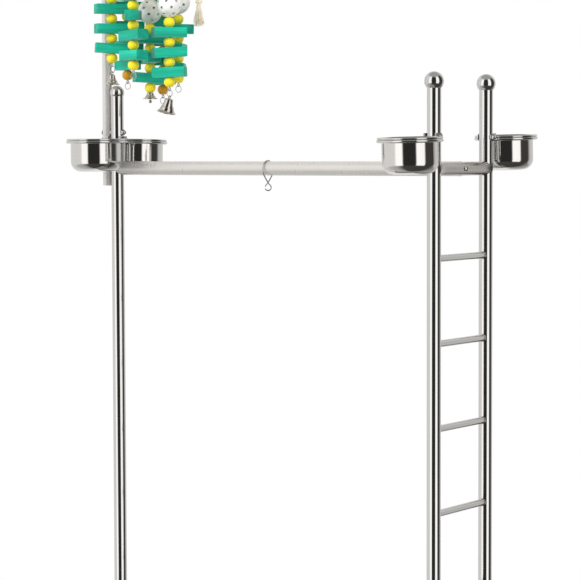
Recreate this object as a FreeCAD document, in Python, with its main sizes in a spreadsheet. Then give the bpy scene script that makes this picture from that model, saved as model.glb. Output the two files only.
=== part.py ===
"""Parrot play stand: a round perch between one post and a two-post ladder, with four lift-out
cups, a toy pole with a hanging block toy, a wire toy hook and a wheeled base with a tray.

Millimetres, +Z up. X runs along the perch towards the ladder, -Y is the front. The origin is
the centre of the base on the floor.
"""
import FreeCAD, Part
import math
import os

import Sketcher
from FreeCAD import Placement, Rotation, Vector

doc = FreeCAD.newDocument("play_stand")
sheet = doc.addObject("Spreadsheet::Sheet", "dims")

# ---------------------------------------------------------------- driving dimensions

SIZES = [
    ("perch_height", 1140, "perch axis above the floor"),
    ("perch_span", 790, "left post axis to ladder head bar axis"),
    ("ladder_depth", 186, "front ladder post axis to back ladder post axis"),
    ("tube_od", 25.4, "posts, outside diameter"),
    ("pole_od", 19, "toy pole, outside diameter"),
    ("tube_wall", 1.5, "wall of every round tube"),
    ("perch_od", 27, "perch, outside diameter"),
    ("bar_od", 25, "ladder head bar, outside diameter at its middle"),
    ("bar_flare_od", 30, "ladder head bar, diameter of its flared ends"),
    ("bar_flare_long", 24, "length of each flare"),
    ("rung_od", 12.7, "ladder rung"),
    ("rung_pitch", 152.4, "rung to rung"),
    ("rung_drop", 159, "perch axis down to the first rung"),
    ("post_rise", 143, "perch axis up to the open tops of the posts"),
    ("ball_over", 9.6, "finial ball of a ladder post, wider than its tube"),
    ("side_ball_over", 3.6, "finial ball of the left post, wider than its tube, clear of the pole"),
    ("plug_long", 20, "plugs and spigots inside tubes"),
    ("plug_gap", 0.1, "radial play of a plug in its tube"),
    ("weld_gap", 0.03, "root gap of a coped joint"),
    ("bolt_od", 6, "bolts through posts, perch and rings"),
    ("bolt_head_od", 11, "their domed heads"),
    ("bolt_head_tall", 3.5, "height of a domed head"),
    ("bolt_play", 0.2, "radial play of a bolt in a drilled tube"),
    ("thread_play", 0.05, "radial play of a bolt in its threaded plug or nut"),
    ("nut_flats", 10, "acorn nut across flats"),
    ("nut_hex_tall", 4, "hexagon of an acorn nut"),
    ("nut_dome", 4.5, "dome radius of an acorn nut"),
    ("cup_od", 100, "cup body"),
    ("cup_rim_od", 116, "cup over its rolled rim"),
    ("cup_tall", 64.5, "cup, rim top to bottom"),
    ("cup_corner", 20, "bottom corner radius of a cup"),
    ("cup_wall", 0.8, "cup sheet"),
    ("rim_bead", 3.6, "rolled rim diameter"),
    ("ring_wire", 5.5, "cup ring wire"),
    ("ring_clear", 0.35, "cup ring wire to the post it hangs on"),
    ("ring_rise", 52.5, "perch axis up to the ring wire"),
    ("lug_rise", 4.5, "ring wire up to the lug bolt"),
    ("lug_thick", 1.5, "ring lug plate"),
    ("lug_tall", 14, "ring lug plate"),
    ("lug_gap", 0.1, "lug to post, each side"),
    ("seat_gap", 0.1, "cup rim above its ring"),
    ("pole_foot_drop", 35, "perch axis down to the lower end of the toy pole"),
    ("pole_bolt_rise", 71, "perch axis up to the upper pole bolt"),
    ("pole_rise", 494, "perch axis up to the centre of the crook"),
    ("crook_radius", 50.8, "centreline radius of the crook"),
    ("crook_tip", 21, "straight end of the crook"),
    ("eye_radius", 8, "screw eyes, centreline"),
    ("eye_wire", 5, "screw eyes, wire"),
    ("link_wire", 4, "quick link wire"),
    ("link_radius", 7, "quick link end radius, centreline"),
    ("link_straight", 22, "quick link straight sides"),
    ("hang_gap", 0.1, "play between two linked loops"),
    ("plate_od", 164, "wooden top plate of the toy"),
    ("plate_thick", 16, "wooden top plate of the toy"),
    ("strand_wire", 2, "strand wire"),
    ("loop_radius", 3, "end loops of a strand, centreline"),
    ("slat_long", 66, "wooden slat"),
    ("slat_wide", 27, "wooden slat"),
    ("slat_thick", 19, "wooden slat"),
    ("slat_round", 2, "corner radius of a slat"),
    ("slat_hole", 4, "hole through slats, beads, balls and plate"),
    ("bead_od", 22, "barrel bead"),
    ("bead_tall", 19.2, "barrel bead"),
    ("bead_end_od", 9, "flat ends of a barrel bead"),
    ("air_ball_od", 48, "perforated ball"),
    ("air_ball_wall", 1.5, "perforated ball"),
    ("air_hole", 5.5, "air hole of a perforated ball"),
    ("stack_gap", 0.25, "play between pieces on a strand"),
    ("ring_radius", 6.6, "split ring, centreline"),
    ("ring_thick", 1.4, "split ring wire"),
    ("bell_mouth", 37, "large bell, across its lip"),
    ("bell_tall", 28, "large bell, crown to lip"),
    ("bell_crown", 17, "large bell, across its crown"),
    ("small_bell_mouth", 30, "small bell, across its lip"),
    ("small_bell_tall", 20, "small bell, crown to lip"),
    ("small_bell_crown", 12, "small bell, across its crown"),
    ("cap_bell_mouth", 30, "flat bell that is threaded on the middle strand"),
    ("cap_bell_tall", 12.5, "flat bell, crown to lip"),
    ("cap_bell_crown", 14, "flat bell, across its crown"),
    ("bell_loop_radius", 3, "bell loop, centreline"),
    ("bell_loop_wire", 2, "bell loop, wire"),
    ("hook_wire", 2.5, "wire toy hook on the perch"),
    ("hook_inner", 16, "inner radius of the loop round the perch"),
    ("hook_along", -28, "hook position along the perch from the middle"),
    ("rope_od", 7, "cotton rope"),
    ("base_long", 900, "base over its end caps"),
    ("base_deep", 560, "base over its rails"),
    ("rail_size", 30, "square base tube"),
    ("rail_wall", 1.5, "square base tube"),
    ("rail_corner", 3, "outside corner of the square tube"),
    ("rail_lift", 100, "floor to the underside of the base tubes"),
    ("cap_thick", 3, "end cap flange"),
    ("frame_bolt_od", 8, "frame and foot bolts"),
    ("wheel_od", 75, "caster wheel"),
    ("wheel_wide", 22, "caster wheel"),
    ("wheel_gap", 1, "wheel to fork, each side"),
    ("fork_sheet", 2.5, "caster fork sheet"),
    ("caster_trail", 25, "caster pin to axle"),
    ("caster_inset", 25, "end of the base to caster pin"),
    ("pin_od", 10, "caster pin"),
    ("axle_od", 8, "caster axle"),
    ("run_gap", 0.08, "radial running clearance"),
    ("tray_deep", 24, "tray pan below the rail tops"),
    ("tray_lip", 14, "tray lip above the rail tops"),
    ("tray_sheet", 1.2, "tray sheet"),
    ("tray_gap", 3, "tray pan to the base tubes"),
]

# Strands of the toy, seen from above about the toy's axis: place, free wire under the plate,
# and the pieces from the top down (b bead, s slat, o perforated ball), with each slat's
# turn about the wire and its lean in degrees.
STRANDS = {
    "a": dict(x=-54.0, y=-42.5, slack=10.0, stack="bsbsbsbsb",
              turns=(37, 55, 56, 44), leans=(2, 0, 0, -3)),
    "b": dict(x=16.6, y=-63.8, slack=26.0, stack="bsbsbsbsb",
              turns=(-9, -58, -16, -20), leans=(0, -2, 3, 0)),
    "c": dict(x=0.0, y=10.0, slack=19.7, stack="sbobsbsbsb",
              turns=(-63, 74, -36, 50), leans=(0, 0, 2, -3)),
    "d": dict(x=71.0, y=-20.0, slack=30.0, stack="bobsbsbsb",
              turns=(53, 54, 24), leans=(0, 3, 2)),
    "e": dict(x=39.0, y=51.0, slack=19.7, stack="bobsbsbsb",
              turns=(-11, -62, -57), leans=(-2, 0, 0)),
    "f": dict(x=-16.0, y=72.0, slack=31.5, stack="bsbsbsbsbsb",
              turns=(52, 44, 73, 42, -27), leans=(0, 0, 2, 0, 0)),
    "g": dict(x=-53.6, y=6.0, slack=13.0, stack="osbsbsbsb",
              turns=(49, 49, -6, -24), leans=(0, 0, 0, 0)),
}
for letter, strand in STRANDS.items():
    SIZES += [
        (f"strand_{letter}_x", strand["x"], f"strand {letter}, along the perch from the toy axis"),
        (f"strand_{letter}_y", strand["y"], f"strand {letter}, to the back from the toy axis"),
        (f"strand_{letter}_slack", strand["slack"], f"strand {letter}, bare wire under the plate"),
    ]

# Each ring sits a little turned about its post and leaning about its bolt, in degrees. The two
# left rings share one bolt, so their lugs lie side by side: layer 1 is outside layer 0.
CUP_PLACES = {
    "left_front": dict(side=-1, turn=3, lean=0.5, layer=1),
    "left_back": dict(side=-1, turn=183, lean=1.5, layer=0),
    "ladder_front": dict(side=1, turn=-5, lean=2, layer=0),
    "ladder_back": dict(side=1, turn=178.5, lean=-2, layer=0),
}

OVER = 1.0            # how far a cutting tool runs past the face that it cuts
SIDES = {"left": -1, "right": 1}
ENDS = {"front": -1, "back": 1}


class Size:
    """A length that knows its value and the sheet expression that it comes from."""

    def __init__(self, value, text=None):
        self.value = float(value)
        self.text = text or f"({self.value!r})"

    def join(self, sign, other, value):
        return Size(value, f"({self.text} {sign} {other.text})")

    def __add__(self, other):
        other = as_size(other)
        return self.join("+", other, self.value + other.value)

    def __radd__(self, other):
        return as_size(other) + self

    def __sub__(self, other):
        other = as_size(other)
        return self.join("-", other, self.value - other.value)

    def __rsub__(self, other):
        return as_size(other) - self

    def __mul__(self, other):
        other = as_size(other)
        return self.join("*", other, self.value * other.value)

    def __rmul__(self, other):
        return as_size(other) * self

    def __truediv__(self, other):
        other = as_size(other)
        return self.join("/", other, self.value / other.value)

    def __neg__(self):
        return as_size(0) - self


def as_size(number):
    """The number itself as a Size, unless it is one already."""
    return number if isinstance(number, Size) else Size(number)


def root(size):
    """Square root of a Size."""
    return Size(math.sqrt(size.value), f"sqrt({size.text})")


class Dims:
    """The sheet's cells by name."""


dims = Dims()
for row, (alias, value, meaning) in enumerate(SIZES, start=1):
    sheet.set(f"A{row}", meaning)
    sheet.set(f"B{row}", str(value))
    sheet.setAlias(f"B{row}", alias)
    setattr(dims, alias, Size(value, f"dims.{alias}"))
doc.recompute()


# ---------------------------------------------------------------- building helpers

FLAT = Rotation()
ALONG = {
    "z": Rotation(),
    "x": Rotation(Vector(0, 1, 0), 90),
    "-x": Rotation(Vector(0, 1, 0), -90),
    "y": Rotation(Vector(1, 0, 0), -90),
    "-y": Rotation(Vector(1, 0, 0), 90),
    "-z": Rotation(Vector(1, 0, 0), 180),
}
nodes = []


def bind(obj, prop, size):
    """Tie one property of an object to the sheet."""
    obj.setExpression(prop, as_size(size).text)


def place(obj, at, turn=FLAT):
    """Put an object's own origin at a point, turned, with the point tied to the sheet."""
    at = [as_size(part) for part in at]
    obj.Placement = Placement(Vector(*[part.value for part in at]), turn)
    for axis, part in zip("xyz", at):
        bind(obj, f"Placement.Base.{axis}", part)
    return obj


def node(obj, name):
    """Give a finished sub-part its name and note it for checking and export."""
    obj.Label = name
    nodes.append(obj)
    return obj


def rod(radius, length, at, along="z"):
    """A round rod that starts at a point and runs along an axis."""
    obj = doc.addObject("Part::Cylinder", "rod")
    bind(obj, "Radius", radius)
    bind(obj, "Height", length)
    return place(obj, at, ALONG[along])


def block(size_x, size_y, size_z, centre_x, centre_y, low_z):
    """A box centred in plan, standing on a height."""
    obj = doc.addObject("Part::Box", "block")
    bind(obj, "Length", size_x)
    bind(obj, "Width", size_y)
    bind(obj, "Height", size_z)
    at = (centre_x - as_size(size_x) / 2, centre_y - as_size(size_y) / 2, low_z)
    return place(obj, at)


def hoop(radius, wire, at, axis="z"):
    """A closed wire ring about an axis, from its centreline radius and its wire diameter."""
    obj = doc.addObject("Part::Torus", "hoop")
    bind(obj, "Radius1", radius)
    bind(obj, "Radius2", as_size(wire) / 2)
    return place(obj, at, ALONG[axis])


def sphere(diameter, at):
    """A ball about a point."""
    obj = doc.addObject("Part::Sphere", "sphere")
    bind(obj, "Radius", as_size(diameter) / 2)
    return place(obj, at)


def fuse(*parts):
    """One solid made of the parts."""
    obj = doc.addObject("Part::MultiFuse", "fused")
    obj.Shapes = list(parts)
    obj.Refine = True
    return obj


def cut(base, *tools):
    """The base less every tool."""
    obj = doc.addObject("Part::Cut", "cut")
    obj.Base = base
    obj.Tool = tools[0] if len(tools) == 1 else fuse(*tools)
    return obj


def gather(*parts):
    """Separate solids in one object."""
    obj = doc.addObject("Part::Compound", "group")
    obj.Links = list(parts)
    return obj


def copy_of(source, at, turn=FLAT):
    """A linked copy of a finished piece at a new place."""
    obj = doc.addObject("App::Link", "copy")
    obj.setLink(source)
    return place(obj, at, turn)


def plane(body, role):
    """One of a body's own origin planes."""
    return next(item for item in body.Origin.OriginFeatures if item.Role == role)


def sketch_on(body, role):
    """An empty sketch on one of a body's own origin planes."""
    sketch = body.newObject("Sketcher::SketchObject", "sketch")
    sketch.AttachmentSupport = [(plane(body, role), "")]
    sketch.MapMode = "FlatFace"
    return sketch


def pin(sketch, item, end, x, y):
    """Dimension one end of a sketch line or arc from the sketch's origin."""
    for kind, axis, size in (("DistanceX", -2, as_size(x)), ("DistanceY", -1, as_size(y))):
        if size.value == 0:
            sketch.addConstraint(Sketcher.Constraint("PointOnObject", item, end, axis))
        else:
            index = sketch.addConstraint(
                Sketcher.Constraint(kind, -1, 1, item, end, size.value))
            sketch.setExpression(f"Constraints[{index}]", size.text)


def spot(x, y):
    """A sketch point as a vector."""
    return Vector(as_size(x).value, as_size(y).value, 0)


def outline(sketch, points):
    """A closed outline. Each entry is (x, y), or (x, y, (mx, my)) where the stretch to the
    next point is an arc through (mx, my)."""
    pieces = []
    for here, there in zip(points, points[1:] + points[:1]):
        start, finish = spot(*here[:2]), spot(*there[:2])
        if len(here) == 2:
            item = sketch.addGeometry(Part.LineSegment(start, finish), False)
            pieces.append((item, 1, 2))
            continue
        middle = spot(*here[2])
        item = sketch.addGeometry(Part.Arc(start, middle, finish), False)
        turns_left = (middle - start).cross(finish - middle).z > 0
        pieces.append((item, 1, 2) if turns_left else (item, 2, 1))
    for (item, _, end), (after, start, _) in zip(pieces, pieces[1:] + pieces[:1]):
        sketch.addConstraint(Sketcher.Constraint("Coincident", item, end, after, start))
    for (item, start, _), point in zip(pieces, points):
        pin(sketch, item, start, point[0], point[1])
        if len(point) == 3:
            marker = sketch.addGeometry(Part.Point(spot(*point[2])), True)
            pin(sketch, marker, 1, *point[2])
            sketch.addConstraint(Sketcher.Constraint("PointOnObject", marker, 1, item))


def disc_sketch(sketch, radius, centre=(0, 0)):
    """A dimensioned circle."""
    middle = spot(*centre)
    item = sketch.addGeometry(Part.Circle(middle, Vector(0, 0, 1), as_size(radius).value), False)
    pin(sketch, item, 3, *centre)
    index = sketch.addConstraint(Sketcher.Constraint("Radius", item, as_size(radius).value))
    sketch.setExpression(f"Constraints[{index}]", as_size(radius).text)


def turned(points, at, along="z"):
    """A turned piece: a closed half outline of (radius, height) points, spun about its axis."""
    body = doc.addObject("PartDesign::Body", "turned")
    sketch = sketch_on(body, "XZ_Plane")
    outline(sketch, points)
    spin = body.newObject("PartDesign::Revolution", "spin")
    spin.Profile = sketch
    spin.ReferenceAxis = (sketch, ["V_Axis"])
    spin.Angle = 360
    body.Tip = spin
    return place(body, at, ALONG[along])


def rounded_rectangle(long, wide, corner):
    """Outline of a rectangle about the origin with rounded corners."""
    x, y, r = as_size(long) / 2, as_size(wide) / 2, as_size(corner)
    in_x, in_y = x - r, y - r
    bow = r * (1 - math.sqrt(0.5))
    mid_x, mid_y = x - bow, y - bow
    return [
        (-in_x, -y), (in_x, -y, (mid_x, -mid_y)),
        (x, -in_y), (x, in_y, (mid_x, mid_y)),
        (in_x, y), (-in_x, y, (-mid_x, mid_y)),
        (-x, in_y), (-x, -in_y, (-mid_x, -mid_y)),
    ]


def padded(points, length, hole=None, centred=False):
    """A plate: an outline in plan, with a round hole through its middle or a second outline
    inside it, padded upwards or, when centred, both ways."""
    body = doc.addObject("PartDesign::Body", "plate")
    sketch = sketch_on(body, "XY_Plane")
    outline(sketch, points)
    if isinstance(hole, list):
        outline(sketch, hole)
    elif hole is not None:
        disc_sketch(sketch, as_size(hole) / 2)
    pad = body.newObject("PartDesign::Pad", "pad")
    pad.Profile = sketch
    pad.Midplane = centred
    bind(pad, "Length", length)
    body.Tip = pad
    return body


def tube(outside, length, at, along, *tools):
    """A round tube, open at both ends, less any tools such as bolt holes."""
    at = [as_size(part) for part in at]
    bore_at = list(at)
    axis = "xyz".index(along)
    bore_at[axis] = at[axis] - OVER
    bore = rod(as_size(outside) / 2 - dims.tube_wall, length + 2 * OVER, bore_at, along)
    return cut(rod(as_size(outside) / 2, length, at, along), bore, *tools)


def plug(outside, length, hole, at, along):
    """A round plug with a threaded hole through it."""
    at = [as_size(part) for part in at]
    hole_at = list(at)
    axis = "xyz".index(along)
    hole_at[axis] = at[axis] - OVER
    return cut(rod(as_size(outside) / 2, length, at, along),
               rod(as_size(hole) / 2 + dims.thread_play, length + 2 * OVER, hole_at, along))


def domed_bolt(length, at, along, shank=None, head=None, head_tall=None):
    """A bolt whose domed head stands on a point and whose shank runs back from it."""
    shank = (shank or dims.bolt_od) / 2
    head = (head or dims.bolt_head_od) / 2
    tall = head_tall or dims.bolt_head_tall
    rim = tall * 0.3
    dome = tall - rim
    bow = (head * head + dome * dome) / (2 * dome)
    half = head / 2
    return turned([
        (0, -as_size(length)), (shank, -as_size(length)), (shank, 0), (head, 0),
        (head, rim, (half, tall - bow + root(bow * bow - half * half))), (0, tall),
    ], at, along)


def acorn_nut(at, along):
    """A hexagon nut with a domed cap. Its seat stands on a point."""
    hexagon = doc.addObject("Part::Prism", "hexagon")
    hexagon.Polygon = 6
    bind(hexagon, "Circumradius", dims.nut_flats / 2 / math.cos(math.radians(30)))
    bind(hexagon, "Height", dims.nut_hex_tall)
    dome = sphere(dims.nut_dome * 2, (0, 0, dims.nut_hex_tall))
    bore = rod(dims.bolt_od / 2 + dims.thread_play, dims.nut_hex_tall + OVER, (0, 0, -OVER))
    return place(cut(fuse(hexagon, dome), bore), at, ALONG[along])


# ---------------------------------------------------------------- places

HALF_SPAN = dims.perch_span / 2
HALF_LADDER = dims.ladder_depth / 2
TUBE = dims.tube_od / 2
TUBE_BORE = TUBE - dims.tube_wall
PERCH_Z = dims.perch_height
POST_TOP = PERCH_Z + dims.post_rise
RAIL_TOP = dims.rail_lift + dims.rail_size
BOLT_HOLE = dims.bolt_od / 2 + dims.bolt_play
LADDER_Y = {name: sign * HALF_LADDER for name, sign in ENDS.items()}
BOLT_Z = PERCH_Z + dims.ring_rise + dims.lug_rise
LUG_STEP = dims.lug_thick + dims.lug_gap
POLE = dims.pole_od / 2
POLE_BORE = POLE - dims.tube_wall
POLE_STAND = 2 * LUG_STEP + dims.lug_gap
POLE_X = -HALF_SPAN - TUBE - POLE_STAND - POLE
POLE_BOLT_Z = PERCH_Z + dims.pole_bolt_rise
RAIL_Y = dims.base_deep / 2 - dims.rail_size / 2
CASTER_X = dims.base_long / 2 - dims.caster_inset
WHEEL = dims.wheel_od / 2


# ---------------------------------------------------------------- base frame

rail_long = dims.base_long - 2 * dims.cap_thick
cross_long = dims.base_deep - 2 * dims.rail_size
rail_bore = dims.rail_size - 2 * dims.rail_wall
frame_hole = dims.frame_bolt_od / 2 + dims.bolt_play
MIDDLE_Z = dims.rail_lift + dims.rail_size / 2


def square_tube(length, at, turn):
    """Square base tube with rounded corners, open at both ends."""
    skin = rounded_rectangle(dims.rail_size, dims.rail_size, dims.rail_corner)
    inside = rounded_rectangle(rail_bore, rail_bore, dims.rail_corner - dims.rail_wall)
    return place(padded(skin, length, inside), at, turn)


for name, sign in ENDS.items():
    rail = square_tube(rail_long, (-rail_long / 2, sign * RAIL_Y, MIDDLE_Z), ALONG["x"])
    holes = []
    for side in SIDES.values():
        holes.append(rod(frame_hole, dims.rail_size + 2 * OVER,
                         (side * HALF_SPAN, sign * RAIL_Y - dims.rail_size / 2 - OVER, MIDDLE_Z), "y"))
        holes.append(rod(dims.pin_od / 2 + dims.bolt_play, dims.rail_size + 2 * OVER,
                         (side * CASTER_X, sign * RAIL_Y, dims.rail_lift - OVER)))
    node(cut(rail, *holes), f"base_rail_{name}")

POSTS = {
    "left_post": (-HALF_SPAN, as_size(0)),
    "ladder_post_front": (HALF_SPAN, LADDER_Y["front"]),
    "ladder_post_back": (HALF_SPAN, LADDER_Y["back"]),
}
for name, sign in SIDES.items():
    cross = square_tube(cross_long, (sign * HALF_SPAN, -cross_long / 2, MIDDLE_Z), ALONG["y"])
    feet = [
        rod(frame_hole, dims.rail_size + 2 * OVER, (x, y, dims.rail_lift - OVER))
        for x, y in POSTS.values() if x.value * sign > 0
    ]
    node(cut(cross, *feet), f"base_cross_{name}")

CAP_NECK_TALL = 8
cap = padded(rounded_rectangle(dims.rail_size, dims.rail_size, dims.rail_corner), dims.cap_thick)
cap_neck = rounded_rectangle(rail_bore - 2 * dims.plug_gap, rail_bore - 2 * dims.plug_gap,
                             dims.rail_corner - dims.rail_wall)
cap_neck = place(padded(cap_neck, CAP_NECK_TALL), (0, 0, -CAP_NECK_TALL))
end_cap = fuse(cap, cap_neck)
node(gather(*[
    copy_of(end_cap, (sign * rail_long / 2, end * RAIL_Y, MIDDLE_Z), ALONG["x" if sign > 0 else "-x"])
    for sign in SIDES.values() for end in ENDS.values()
]), "rail_end_caps")

nut_plug = cut(
    padded(rounded_rectangle(rail_bore - 2 * dims.plug_gap, rail_bore - 2 * dims.plug_gap,
                             dims.rail_corner - dims.rail_wall), dims.plug_long),
    rod(dims.frame_bolt_od / 2 + dims.thread_play, dims.plug_long + 2 * OVER, (0, 0, -OVER)))
frame_bolt_long = dims.rail_size + dims.plug_long * 0.8
frame_bolt_head = dims.frame_bolt_od * 1.7
frame_bolt_tall = dims.frame_bolt_od * 0.5
frame_bolt = domed_bolt(frame_bolt_long, (0, 0, 0), "z", dims.frame_bolt_od, frame_bolt_head,
                        frame_bolt_tall)
corners = [(side, end) for side in SIDES.values() for end in ENDS.values()]
node(gather(*[
    copy_of(nut_plug, (side * HALF_SPAN, end * cross_long / 2, MIDDLE_Z), ALONG["-y" if end > 0 else "y"])
    for side, end in corners
]), "cross_nut_plugs")
node(gather(*[
    copy_of(frame_bolt, (side * HALF_SPAN, end * dims.base_deep / 2, MIDDLE_Z),
            ALONG["y" if end > 0 else "-y"])
    for side, end in corners
]), "cross_bolts")


# ---------------------------------------------------------------- casters

RACE_TALL = 8         # race disc between the rail and the fork
PIN_HEAD_OD, PIN_HEAD_TALL = 18, 2.5
STEM_NUT_TALL = 5
STEM_PAST = 1         # pin past its nut
fork_top = dims.rail_lift - RACE_TALL
fork_under = fork_top - dims.fork_sheet
fork_inside = dims.wheel_wide + 2 * dims.wheel_gap
fork_outside = fork_inside + 2 * dims.fork_sheet
race_radius = dims.rail_size * 0.7

# Each pin is bolted through its rail: a race disc under the rail, a plain neck that the fork
# turns on, a head under the fork, and a nut on the rail's top.
race = fork_top + dims.hang_gap
head_top = fork_under - dims.hang_gap
stem_top = RAIL_TOP + STEM_NUT_TALL + STEM_PAST
pin_radius = dims.pin_od / 2
stem = turned([
    (0, head_top - PIN_HEAD_TALL), (PIN_HEAD_OD / 2, head_top - PIN_HEAD_TALL),
    (PIN_HEAD_OD / 2, head_top), (pin_radius, head_top), (pin_radius, race), (race_radius, race),
    (race_radius, dims.rail_lift), (pin_radius, dims.rail_lift), (pin_radius, stem_top),
    (0, stem_top),
], (0, 0, 0))
stem_nut = doc.addObject("Part::Prism", "hexagon")
stem_nut.Polygon = 6
bind(stem_nut, "Circumradius", dims.pin_od)
bind(stem_nut, "Height", STEM_NUT_TALL)
stem_nut = cut(place(stem_nut, (0, 0, RAIL_TOP)),
               rod(pin_radius + dims.thread_play, STEM_NUT_TALL + 2 * OVER, (0, 0, RAIL_TOP - OVER)))
caster_spots = {
    f"{end}_{side}": (SIDES[side] * CASTER_X, ENDS[end] * RAIL_Y, -SIDES[side])
    for end in ENDS for side in SIDES
}
node(gather(*[
    copy_of(piece, (x, y, 0)) for x, y, _ in caster_spots.values() for piece in (stem, stem_nut)
]), "caster_stems")

FORK_BACK, FORK_FRONT = 18, 20    # fork cheek, pin to its back and front edges
CHEEK_ROUND = 9                   # cheek round the axle
AXLE_HEAD_TALL = 3

for name, (x, y, heading) in caster_spots.items():
    turn = Rotation(Vector(0, 0, 1), 0 if heading > 0 else 180)
    side_view = doc.addObject("PartDesign::Body", "fork_side")
    sketch = sketch_on(side_view, "XZ_Plane")
    trail = dims.caster_trail
    cheek_low = WHEEL - CHEEK_ROUND * 0.45
    outline(sketch, [
        (-FORK_BACK, fork_top), (-FORK_BACK, fork_under - 4),
        (trail - CHEEK_ROUND, cheek_low, (trail, WHEEL - CHEEK_ROUND - 1)),
        (trail + CHEEK_ROUND, cheek_low), (FORK_FRONT, fork_under - 8), (FORK_FRONT, fork_top),
    ])
    pad = side_view.newObject("PartDesign::Pad", "pad")
    pad.Profile = sketch
    pad.Midplane = True
    bind(pad, "Length", fork_outside)
    side_view.Tip = pad
    crown = rod(race_radius, dims.fork_sheet, (0, 0, fork_under))
    axle_hole = rod(dims.axle_od / 2 + dims.thread_play, fork_outside + 2 * OVER,
                    (trail, -fork_outside / 2 - OVER, WHEEL), "y")
    fork = cut(
        fuse(side_view, crown),
        block(dims.wheel_od + 2 * trail, fork_inside, fork_under, trail, 0, 0),
        rod(pin_radius + dims.run_gap, dims.fork_sheet + 2 * OVER, (0, 0, fork_under - OVER)),
        axle_hole,
    )
    axle_head = dims.axle_od * 0.8
    axle = fuse(
        rod(dims.axle_od / 2, fork_outside + AXLE_HEAD_TALL,
            (trail, -(fork_outside + AXLE_HEAD_TALL) / 2, WHEEL), "y"),
        rod(axle_head, AXLE_HEAD_TALL, (trail, -fork_outside / 2 - AXLE_HEAD_TALL, WHEEL), "y"),
        rod(axle_head, AXLE_HEAD_TALL, (trail, fork_outside / 2, WHEEL), "y"),
    )
    node(place(gather(fork, axle), (x, y, 0), turn), f"caster_fork_{name}")
    half_wide = dims.wheel_wide / 2
    bore = dims.axle_od / 2 + dims.run_gap
    wheel = turned([
        (bore, -half_wide), (11, -half_wide), (12, 4 - half_wide), (WHEEL - 8, 4 - half_wide),
        (WHEEL - 6, 1 - half_wide), (WHEEL - 3, 1 - half_wide, (WHEEL - 0.8, 3 - half_wide)),
        (WHEEL, 6 - half_wide), (WHEEL, half_wide - 6, (WHEEL - 0.8, half_wide - 3)),
        (WHEEL - 3, half_wide - 1), (WHEEL - 6, half_wide - 1), (WHEEL - 8, half_wide - 4),
        (12, half_wide - 4), (11, half_wide), (bore, half_wide),
    ], (x + heading * dims.caster_trail, y, WHEEL), "y")
    node(wheel, f"caster_wheel_{name}")


# ---------------------------------------------------------------- tray

tray_long = dims.perch_span - dims.rail_size - 2 * dims.tray_gap
pan_wide = cross_long - 2 * dims.tray_gap
flange_wide = dims.base_deep - dims.rail_size / 2
pan_low = RAIL_TOP - dims.tray_deep
flange_low = RAIL_TOP + dims.seat_gap
lip_top = RAIL_TOP + dims.tray_lip
sheet_two = 2 * dims.tray_sheet
node(cut(
    fuse(block(tray_long, pan_wide, flange_low + dims.tray_sheet - pan_low, 0, 0, pan_low),
         block(tray_long, flange_wide, lip_top - flange_low, 0, 0, flange_low)),
    block(tray_long - sheet_two, pan_wide - sheet_two, lip_top - pan_low, 0, 0,
          pan_low + dims.tray_sheet),
    block(tray_long - sheet_two, flange_wide - sheet_two, lip_top - flange_low, 0, 0,
          flange_low + dims.tray_sheet),
), "tray")


# ---------------------------------------------------------------- posts, finials and feet

post_long = POST_TOP - RAIL_TOP
drill_long = dims.tube_od + 2 * OVER


def ring_bolt_hole(x, y, turn):
    """A hole through a post for a cup ring's bolt, square to the ring's reach."""
    hole = rod(BOLT_HOLE, drill_long, (0, 0, 0))
    slant = Rotation(Vector(0, 0, 1), turn) * ALONG["x"]
    start = slant.multVec(Vector(0, 0, -drill_long.value / 2))
    return place(hole, (x + start.x, y + start.y, BOLT_Z), slant)


LEFT_TURN = CUP_PLACES["left_front"]["turn"]

for name, (x, y) in POSTS.items():
    holes = []
    if name == "left_post":
        holes.append(ring_bolt_hole(x, y, LEFT_TURN))
        for z in (PERCH_Z, POLE_BOLT_Z):
            holes.append(rod(BOLT_HOLE, drill_long, (x - TUBE - OVER, y, z), "x"))
    else:
        turn = CUP_PLACES[name.replace("_post", "")]["turn"]
        holes.append(ring_bolt_hole(x, y, turn))
    node(tube(dims.tube_od, post_long, (x, y, RAIL_TOP), "z", *holes), name)

plug_od = 2 * (TUBE_BORE - dims.plug_gap)
foot_bolt = domed_bolt(frame_bolt_long, (0, 0, 0), "z", dims.frame_bolt_od, frame_bolt_head,
                       frame_bolt_tall)
foot_plug = plug(plug_od, dims.plug_long, dims.frame_bolt_od, (0, 0, 0), "z")
node(gather(*[copy_of(foot_plug, (x, y, RAIL_TOP)) for x, y in POSTS.values()]), "post_foot_plugs")
node(gather(*[copy_of(foot_bolt, (x, y, dims.rail_lift), ALONG["-z"])
              for x, y in POSTS.values()]), "post_foot_bolts")

def finial(ball_od):
    """A ball cut flat where its section equals the tube, with a spigot that goes down the bore."""
    ball = ball_od / 2
    centre = root(ball * ball - TUBE * TUBE)
    return turned([
        (0, -dims.plug_long), (plug_od / 2, -dims.plug_long), (plug_od / 2, 0),
        (TUBE, 0, (ball, centre)), (0, centre + ball),
    ], (0, 0, 0))


finial_of = {False: finial(dims.tube_od + dims.ball_over),
             True: finial(dims.tube_od + dims.side_ball_over)}
node(gather(*[copy_of(finial_of[name == "left_post"], (x, y, POST_TOP))
              for name, (x, y) in POSTS.items()]), "finials")


# ---------------------------------------------------------------- ladder rungs and head bar

def ladder_post_tools(low_z, tall):
    """The two ladder posts as cutting tools, for coping what is welded between them."""
    radius = TUBE + dims.weld_gap
    return [rod(radius, tall, (HALF_SPAN, y, low_z)) for y in LADDER_Y.values()]


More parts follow.
